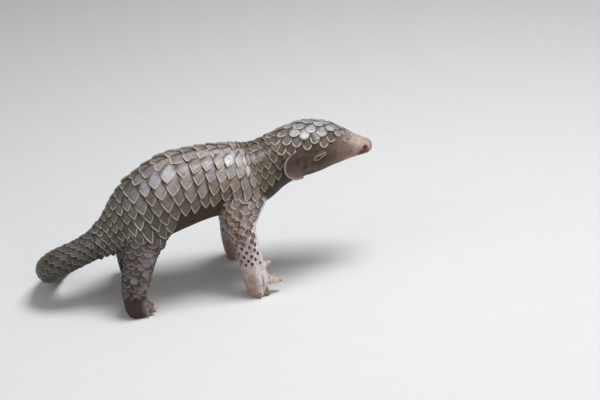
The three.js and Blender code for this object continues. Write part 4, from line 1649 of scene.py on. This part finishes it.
def new_material(name: str) -> tuple[Material, NodeBench, Node]:
    """A material with a Principled shader.

    Args:
        name: its name.

    Returns:
        The material, its bench and the shader.
    """
    material = bpy.data.materials.new(name)
    material.use_nodes = True
    material.node_tree.nodes.clear()
    bench = NodeBench(material.node_tree)
    shader = bench.add("ShaderNodeBsdfPrincipled")
    bench.add("ShaderNodeOutputMaterial", {"Surface": shader.outputs["BSDF"]})
    return material, bench, shader


@dataclass(frozen=True)
class SkinFinish:
    """Bare wrinkled skin, with painted shade in its wrinkles."""

    roughness: float = 0.52
    shine: float = 0.22
    wrinkle: float = 0.00035
    subsurface: float = 0.12
    # The colour of the painted shade in the wrinkles.
    wrinkle_shade: Colour = (0.09, 0.05, 0.045)

    def material(self, mottle: Tree) -> Material:
        """Builds the material with the shared mottle."""
        made, bench, shader = new_material("skin")
        where = bench.here()
        cloud = bench.group(mottle, {"Vector": where, "Scale": 260.0})
        cells = {"Vector": where, "Scale": 900.0}
        edges = bench.add("ShaderNodeTexVoronoi", cells, feature="DISTANCE_TO_EDGE")
        flat = bench.step(edges.outputs["Distance"], 0.0, 0.12)
        # Painted shade along the wrinkles' creases.
        creases = bench.math("MULTIPLY", bench.math("SUBTRACT", 1.0, flat), 0.22)
        tone = bench.times(bench.colours(), cloud["Value"])
        rough = (self.roughness - 0.1, self.roughness + 0.14)
        values = {
            "Base Color": bench.blend(creases, tone, self.wrinkle_shade),
            "Normal": bench.bump(bench.sum(cloud["Height"], flat, 0.5), 0.55, self.wrinkle),
            "Roughness": bench.step(cloud["Height"], 0.3, 0.7, rough),
            "Specular IOR Level": self.shine,
            "Subsurface Weight": self.subsurface,
            "Subsurface Radius": (1.0, 0.35, 0.2),
            "Subsurface Scale": 0.0015,
        }
        bench.fill(shader, values)
        return made


@dataclass(frozen=True)
class HornFinish:
    """Scales of horn: a coloured centre, lengthwise ridges and a pale worn margin.

    The shares say how strongly margin, rear and the painted shade at the root colour the scale, the
    margin's width is a share of it, the ridges' height is in metres and skew narrows the margin on
    one edge.
    """

    name: str
    margin: Colour
    margin_share: float
    margin_width: float
    roughness: float
    ridge: float = 0.0003
    cloud: float = 330.0
    rear_share: float = 0.25
    # How strongly the painted shade at the root colours the scale.
    root_shade_share: float = 0.75
    rings: float = 0.22
    gloss: float = 0.35
    skew: float = 0.0
    shine: float = 0.3
    # The colour of the painted shade at each scale's root, under the scale above.
    root: Colour = (0.03, 0.021, 0.016)

    def material(self, mottle: Tree, marks: Tree) -> Material:
        """Builds the material.

        Args:
            mottle: the shared mottle.
            marks: the shared marks of a scale.

        Returns:
            The material.
        """
        made, bench, shader = new_material(self.name)
        cloud = bench.group(mottle, {"Vector": bench.here(), "Scale": self.cloud})
        inputs = {
            "Map": bench.add("ShaderNodeUVMap", uv_map="Plate").outputs["UV"],
            "Noise": cloud["Height"],
            "Width": self.margin_width,
            "Rings": self.rings,
            "Skew": self.skew,
        }
        mark = bench.group(marks, inputs)
        strength = bench.colours("Alpha")
        tone = bench.times(bench.times(bench.colours(), cloud["Value"]), cloud["Stain"])
        tone = bench.times(tone, bench.step(mark["Ridges"], -0.5, 0.5, (0.86, 1.12)))
        pale = bench.math("MULTIPLY", mark["Rear"], self.rear_share)
        edge = bench.math("MULTIPLY", mark["Margin"], self.margin_share)
        # Painted shade at the root, where the scale above overlaps.
        dark = bench.math("MULTIPLY", mark["RootShade"], self.root_shade_share)
        tone = bench.blend(pale, tone, self.margin)
        tone = bench.blend(bench.math("MULTIPLY", edge, strength), tone, self.margin)
        tone = bench.blend(bench.math("MULTIPLY", dark, strength), tone, self.root)
        height = bench.sum(mark["Ridges"], cloud["Height"], 1.4)
        height = bench.sum(height, mark["Margin"], 0.8)
        rough = (self.roughness - 0.1, self.roughness + 0.15)
        values = {
            "Base Color": tone,
            "Normal": bench.bump(height, 0.6, self.ridge),
            "Roughness": bench.step(cloud["Height"], 0.3, 0.7, rough),
            "Specular IOR Level": self.shine,
            "Coat Weight": self.gloss,
            "Coat Roughness": 0.22,
        }
        bench.fill(shader, values)
        return made


def claw_material(mottle: Tree) -> Material:
    """Pale pink horn that darkens towards the claw's tip."""
    made, bench, shader = new_material("claw")
    cloud = bench.group(mottle, {"Vector": bench.here(), "Scale": 420.0})
    values = {
        "Base Color": bench.times(bench.colours(), cloud["Value"]),
        "Normal": bench.bump(cloud["Height"], 0.3, 0.0002),
        "Roughness": 0.36,
        "Subsurface Weight": 0.15,
        "Subsurface Radius": (1.0, 0.5, 0.35),
        "Subsurface Scale": 0.001,
    }
    bench.fill(shader, values)
    return made


def eye_material() -> Material:
    """Wet dark brown, nearly black."""
    made, bench, shader = new_material("eye")
    spots = bench.noise(bench.here(), 900.0)
    values = {
        "Base Color": bench.blend(spots, (0.004, 0.003, 0.003), (0.02, 0.012, 0.008)),
        "Roughness": 0.09,
        "Specular IOR Level": 0.35,
        "Coat Weight": 0.2,
        "Coat Roughness": 0.03,
    }
    bench.fill(shader, values)
    return made


def floor_material() -> Material:
    """Matt pale paper."""
    made, bench, shader = new_material("floor")
    grain = bench.noise(bench.here(), 60.0)
    tone = bench.blend(grain, (0.77, 0.76, 0.74), (0.80, 0.79, 0.77))
    bench.fill(shader, {"Base Color": tone, "Roughness": 0.85})
    return made


FORMS = {
    Coat.CROWN: ScaleForm(
        roundness=1.0, thickness=0.4, rise=0.6, root_height=0.12, dome=0.0, wide=0.5, long=0.92,
        overlap=0.3, jitter=0.04, wide_down=0.30, long_down=1.2, cup=0.32,
    ),
    Coat.NECK: ScaleForm(
        roundness=0.6, thickness=0.42, rise=0.8, root_height=0.2, dome=0.25,
        jitter=0.045, tilt=0.6, flat_back=0.3,
    ),
    Coat.SHOULDER: ScaleForm(
        roundness=0.55, thickness=0.42, rise=0.9, root_height=0.2, dome=0.3,
        jitter=0.05, tilt=0.6, flat_back=0.4,
    ),
    Coat.TRUNK: ScaleForm(
        roundness=0.5, thickness=0.46, rise=1.3, root_height=0.25, dome=0.45,
        jitter=0.045, tilt=0.8, flat_back=0.5,
    ),
    Coat.TAIL: ScaleForm(
        roundness=0.55, thickness=0.42, rise=0.75, root_height=0.25, dome=0.2,
        jitter=0.04, tilt=0.2, flat_back=0.2,
    ),
    Coat.FORELEGS: ScaleForm(
        roundness=0.7, thickness=0.3, rise=0.5, root_height=0.06, dome=0.2, wide=0.48, long=1.02,
        overlap=0.15, jitter=0.10, wide_down=0.46, long_down=0.92, smallest=0.18,
    ),
    Coat.HIND_LEGS: ScaleForm(
        roundness=0.9, thickness=0.34, rise=0.6, root_height=0.08, dome=0.15, wide=0.52, long=1.0,
        overlap=0.3, jitter=0.07, cup=0.2, smallest=0.3,
    ),
}
TRUNK_HORN = HornFinish(
    "scales_trunk", (0.56, 0.49, 0.40), 0.95, 0.11, 0.42, cloud=300.0, rear_share=0.12, skew=0.03
)
HORNS = {
    Coat.CROWN: HornFinish(
        "scales_crown", (0.54, 0.47, 0.37), 0.92, 0.2, 0.34, rear_share=0.0, rings=0.45, gloss=0.6
    ),
    Coat.NECK: HornFinish(
        "scales_neck", (0.42, 0.35, 0.25), 0.95, 0.11, 0.45, cloud=300.0, rear_share=0.1, skew=0.02
    ),
    Coat.SHOULDER: TRUNK_HORN,
    Coat.TRUNK: TRUNK_HORN,
    Coat.TAIL: HornFinish(
        "scales_tail", (0.30, 0.28, 0.245), 0.85, 0.10, 0.45, rear_share=0.1, gloss=0.15
    ),
    Coat.FORELEGS: HornFinish(
        "scales_fore", (0.66, 0.56, 0.55), 0.8, 0.12, 0.45, 0.0002, 420.0, gloss=0.2
    ),
    Coat.HIND_LEGS: HornFinish(
        "scales_hind", (0.21, 0.18, 0.195), 0.95, 0.24, 0.5, 0.0002, 420.0, gloss=0.2
    ),
}


def above(edge: Array | float, soft: float, angle: Array) -> Array:
    """1 on the back's side of an edge in degrees from it, fading to 0 beyond."""
    return 1 - ramp(edge - soft, edge + soft, from_back(angle))


def square(distance: Array, angle: Array) -> Array:
    """Rings square to the tube."""
    return 0.0 * distance


def flank_lean(distance: Array, angle: Array) -> Array:
    """Rings that fall back down the flanks, by up to 0.2 mm for each degree on the trunk."""
    strength = 0.10 + 0.10 * ramp(84, 108, distance) - 0.16 * ramp(150, 225, distance)
    return strength * (np.sqrt(from_back(angle) ** 2 + 144) - 12)


def downward(most: float) -> Rule:
    """Tips that turn from rearward at the spine to as many degrees down on the flank."""
    return lambda distance, angle: most * ramp(-12, 34, from_back(angle))


def tail_turn(distance: Array, angle: Array) -> Array:
    """Tips that come back from pointing down to pointing along the tail."""
    return (70.0 - 40.0 * ramp(200, 235, distance)) * ramp(-12, 34, from_back(angle))


def crown_cover(distance: Array, angle: Array) -> Array:
    """Full on the crown, fading down its sides and on to the muzzle."""
    side = above(46 + 18 * ramp(12, 40, distance), 5, angle)
    return side * (0.45 + 0.55 * ramp(14, 32, distance)) * (distance > 13)


def neck_cover(distance: Array, angle: Array) -> Array:
    """Full down to the bare side of the neck, which ends at the withers."""
    return above(70 + 34 * ramp(62, 80, distance), 5, angle)


def trunk_cover(distance: Array, angle: Array) -> Array:
    """Full down to the belly's edge, and all round at the rump."""
    return above(BELLY_EDGE + (RUMP_EDGE - BELLY_EDGE) * ramp(148, 200, distance), 4, angle)


def tail_cover(distance: Array, angle: Array) -> Array:
    """All round the tail, smaller at its tip."""
    return 1 - 0.8 * ramp(300, 340, distance)


def crown_pitch(distance: Array) -> Array:
    """4 mm at the muzzle, 5.2 mm on the crown."""
    return 4.0 + 1.2 * ramp(15, 34, distance)


def body_pitch(distance: Array) -> Array:
    """2.9 mm on the neck, 2.6 at the shoulders, 3.9 on the trunk, 3.5 to 2.3 on the tail."""
    front = 2.9 - 0.3 * ramp(72, 84, distance) + 1.3 * ramp(90, 118, distance)
    rear = front - 0.8 * ramp(158, 188, distance) + 0.4 * ramp(205, 235, distance)
    return rear - 1.2 * ramp(260, 330, distance)


def leg_pitch(distance: Array) -> Array:
    """3.3 mm, a little less towards the foot."""
    return 3.3 - 0.3 * ramp(20, 60, distance)


def fore_turn(distance: Array, angle: Array) -> Array:
    """Tips that point down and rearward above the wrist."""
    return -52.0 * np.sign(np.sin(angle)) * ramp(50, 36, distance)


def leg_cover(front: float, distance: Array, angle: Array) -> Array:
    """Full on a leg's outer and rear side up to its front's edge, fading out at the foot."""
    turn = np.degrees(np.mod(angle + math.pi, 2 * math.pi) - math.pi)
    round_it = ramp(-165, -135, turn) * ramp(front + 12, front - 6, turn)
    return round_it * ramp(68, 60, distance) * ramp(2, 8, distance)


def fore_cover(distance: Array, angle: Array) -> Array:
    """Narrow on a foreleg, its scales shrinking to dots below the elbow."""
    spread = 1 - 0.64 * ramp(38, 50, distance) - 0.16 * ramp(14, 34, distance)
    return leg_cover(46.0, distance, angle) * spread


def hind_cover(distance: Array, angle: Array) -> Array:
    """Wide on a hind leg, its scales a little smaller near the foot."""
    return leg_cover(104.0, distance, angle) * (1 - 0.2 * ramp(38, 50, distance))


class Pup:
    """The whole animal: its skin, scales, claws and eyes."""

    def __init__(self) -> None:
        """Makes the colours and the node groups that the pieces share."""
        self.markings = Markings()
        self.mottle = mottle_group()
        self.marks = scale_group()

    def put(self, piece: Piece, material: Material, slot: Slot, nodes: Sequence[str] = ()) -> None:
        """Dresses a piece, lets it ride on the body and hides the CAD nodes that it stands for.

        Args:
            piece: the piece.
            material: its finish.
            slot: the record's material slot; not used.
            nodes: the CAD nodes that it replaces.
        """
        mesh = piece.data
        mesh.materials.clear()
        mesh.materials.append(material)
        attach(piece, BODY)
        if nodes:
            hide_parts(*nodes)
        mesh.calc_loop_triangles()
        LOG.info("%s: %d triangles", piece.name, len(mesh.loop_triangles))

    def build_skin(self) -> Piece:
        """Builds the skin in place of every node of flesh."""
        skin = PupSkin(Ear(), Eye()).build()
        flesh = FLESH + tuple(node for leg in LEGS for node in leg.nodes)
        self.put(skin, SkinFinish().material(self.mottle), Slot.SKIN, flesh)
        return skin

    def body_lattices(self, body: WrappedTube) -> dict[Coat, list[ScaleCoat]]:
        """The lattices of the head, neck, shoulders, trunk and tail.

        Args:
            body: the body's tube drawn out to the skin.

        Returns:
            The lattice of each coat.
        """
        tint, down = self.markings.of_body_scales, downward(70.0)
        crown = ScaleCoat(
            body, FORMS[Coat.CROWN], ring_marks(15.0, 60.0, crown_pitch), 0, 15,
            crown_pitch, crown_cover, tint, square, downward(74.0), 3,
        )
        lattices = {Coat.CROWN: [crown]}
        marks = ring_marks(63.0, BODY_LINE.length - 9.0, body_pitch)
        for coat, low, high, cover, turn, seed in (
            (Coat.NECK, 0.0, 84.0, neck_cover, down, 5),
            (Coat.SHOULDER, 84.0, 101.0, trunk_cover, down, 6),
            (Coat.TRUNK, 101.0, 206.0, trunk_cover, down, 7),
            (Coat.TAIL, 206.0, 400.0, tail_cover, tail_turn, 11),
        ):
            own = np.flatnonzero((marks >= low) & (marks < high))
            lattice = ScaleCoat(
                body, FORMS[coat], marks[own], int(own[0]), 10,
                body_pitch, cover, tint, flank_lean, turn, seed,
            )
            lattices[coat] = [lattice]
        return lattices

    def leg_lattices(self, skin: Piece) -> dict[Coat, list[ScaleCoat]]:
        """The lattices of the legs, those of a pair baked side by side.

        Args:
            skin: the finished skin.

        Returns:
            The two lattices of each coat.
        """
        tints = self.markings.of_fore_scales, self.markings.of_hind_scales
        lattices = {}
        for coat, legs, cover, tint, turn, seed in (
            (Coat.FORELEGS, LEGS[:2], fore_cover, tints[0], fore_turn, 21),
            (Coat.HIND_LEGS, LEGS[2:], hind_cover, tints[1], square, 31),
        ):
            lattices[coat] = [
                ScaleCoat(
                    WrappedTube(leg.tube(), skin, leg.side, 4.0), FORMS[coat],
                    ring_marks(4.0, 68.0, leg_pitch), 0, 9, leg_pitch, cover, tint, square, turn,
                    seed + place, leg.side, (0.5 * place, 0.5 * place + 0.48),
                )
                for place, leg in enumerate(legs)
            ]
        return lattices

    def build_scales(self, skin: Piece) -> None:
        """Lays every stretch of scales over the skin.

        Args:
            skin: the finished skin.
        """
        body = WrappedTube(BODY_LINE, skin, RIGHT, 12.0)
        head = body.distance[:, None] < HEAD_END
        body.raw = np.where(head, np.clip(body.raw, -1.0, 0.4), body.raw)
        body.offset = np.where(head, np.clip(body.offset, -0.6, 0.4), body.offset)
        finishes = {
            horn: horn.material(self.mottle, self.marks) for horn in dict.fromkeys(HORNS.values())
        }
        for coat, parts in (self.body_lattices(body) | self.leg_lattices(skin)).items():
            piece = scale_piece(coat, [lattice.shell() for lattice in parts])
            slot = Slot.TAIL_SCALES if coat is Coat.TAIL else Slot.BODY_SCALES
            self.put(piece, finishes[HORNS[coat]], slot)

    def build_claws(self) -> None:
        """Builds the claws, a piece for each foot, in place of the CAD claws."""
        finish = claw_material(self.mottle)
        for leg in LEGS:
            shell = leg.claws()
            piece = mesh_object(f"claws_{leg.name}", shell)
            paint(piece.data, "Marking", self.markings.of_claws(leg, shell.points))
            nodes = [f"{leg.nodes[-1]}_{toe.name}" for toe in leg.toes]
            self.put(piece, finish, Slot.CLAW, nodes)

    def build_eyes(self) -> None:
        """Builds both eyes in place of the CAD ones."""
        finish = eye_material()
        for side, name in ((RIGHT, "eye_right"), (LEFT, "eye_left")):
            piece = mesh_object(f"{name}_ball", Eye().ball().on_side(side))
            self.put(piece, finish, Slot.EYE, [name])

    def build(self) -> None:
        """Builds every piece in order."""
        skin = self.build_skin()
        self.build_scales(skin)
        self.build_claws()
        self.build_eyes()


@dataclass(frozen=True)
class Lamp:
    """A square soft light that faces the animal, its place and side in metres."""

    name: str
    place: tuple[float, float, float]
    size: float
    power: float
    colour: Colour

    def build(self) -> None:
        """Hangs the light."""
        data = bpy.data.lights.new(self.name, "AREA")
        data.shape = "SQUARE"
        data.size = self.size
        data.energy = self.power
        data.color = self.colour
        place = Vector(self.place)
        turned = (Vector((0.0, 0.0, 0.05)) - place).to_track_quat("-Z", "Y").to_matrix()
        linked(self.name, data).matrix_world = Matrix.Translation(place) @ turned.to_4x4()


@dataclass(frozen=True)
class Studio:
    """The floor, the soft light and the camera at the photograph's viewing angle."""

    azimuth: float = -10.0
    elevation: float = 25.0
    roll: float = 5.278
    aim: tuple[float, float, float] = (68.7, -18.4, 52.0)
    away: float = 1221.0
    lens: float = 102.86
    floor_half: float = 4.0
    sky: Colour = (0.93, 0.95, 1.0)
    sky_strength: float = 0.24
    lamps: tuple[Lamp, ...] = (
        Lamp("top_light", (0.3, -0.1, 1.0), 0.42, 9.0, (0.93, 0.96, 1.0)),
        Lamp("side_light", (0.3, -1.0, 0.5), 0.7, 1.7, (1.0, 0.96, 0.91)),
        Lamp("rear_light", (-0.8, -0.3, 0.7), 0.7, 1.6, (1.0, 0.97, 0.94)),
    )

    def camera(self) -> None:
        """Sets the camera: it looks at the aim point from its azimuth and elevation, rolled."""
        turn, rise, roll = np.radians([self.azimuth, self.elevation, self.roll]).tolist()
        ahead = Vector((-math.sin(turn), math.cos(turn), 0.0))
        right = Vector((math.cos(turn), math.sin(turn), 0.0))
        up = ahead * math.sin(rise) + Vector((0.0, 0.0, math.cos(rise)))
        back = right.cross(up)
        x_axis = right * math.cos(roll) - up * math.sin(roll)
        y_axis = right * math.sin(roll) + up * math.cos(roll)
        data = bpy.data.cameras.new("camera")
        data.lens = self.lens
        data.sensor_width = 36.0
        data.clip_start = 0.01
        data.clip_end = 20.0
        camera = linked("camera", data)
        place = (Vector(self.aim) + back * self.away) * MILLIMETRE
        turned = Matrix((x_axis, y_axis, back)).transposed().to_4x4()
        camera.matrix_world = Matrix.Translation(place) @ turned
        bpy.context.scene.camera = camera

    def floor(self) -> None:
        """A wide plain floor under the feet."""
        corners = np.array([[-1, -1, 0], [1, -1, 0], [1, 1, 0], [-1, 1, 0]]) * self.floor_half
        shell = Shell(corners / MILLIMETRE + ROW_ORIGIN, [np.array([[0, 1, 2, 3]])])
        piece = mesh_object("floor", shell)
        piece.data.materials.append(floor_material())

    def build(self) -> None:
        """Builds the stage."""
        self.camera()
        self.floor()
        for lamp in self.lamps:
            lamp.build()
        world = bpy.data.worlds.new("studio")
        world.use_nodes = True
        inputs = {"Color": self.sky, "Strength": self.sky_strength}
        NodeBench(world.node_tree).fill(world.node_tree.nodes["Background"], inputs)
        bpy.context.scene.world = world
        bpy.context.scene.view_settings.view_transform = "Standard"


def main() -> None:
    """Builds the animal and its stage."""
    logging.basicConfig(level=logging.INFO, format="%(name)s: %(message)s")
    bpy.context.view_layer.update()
    Pup().build()
    Studio().build()


if __name__ == "__main__":
    main()
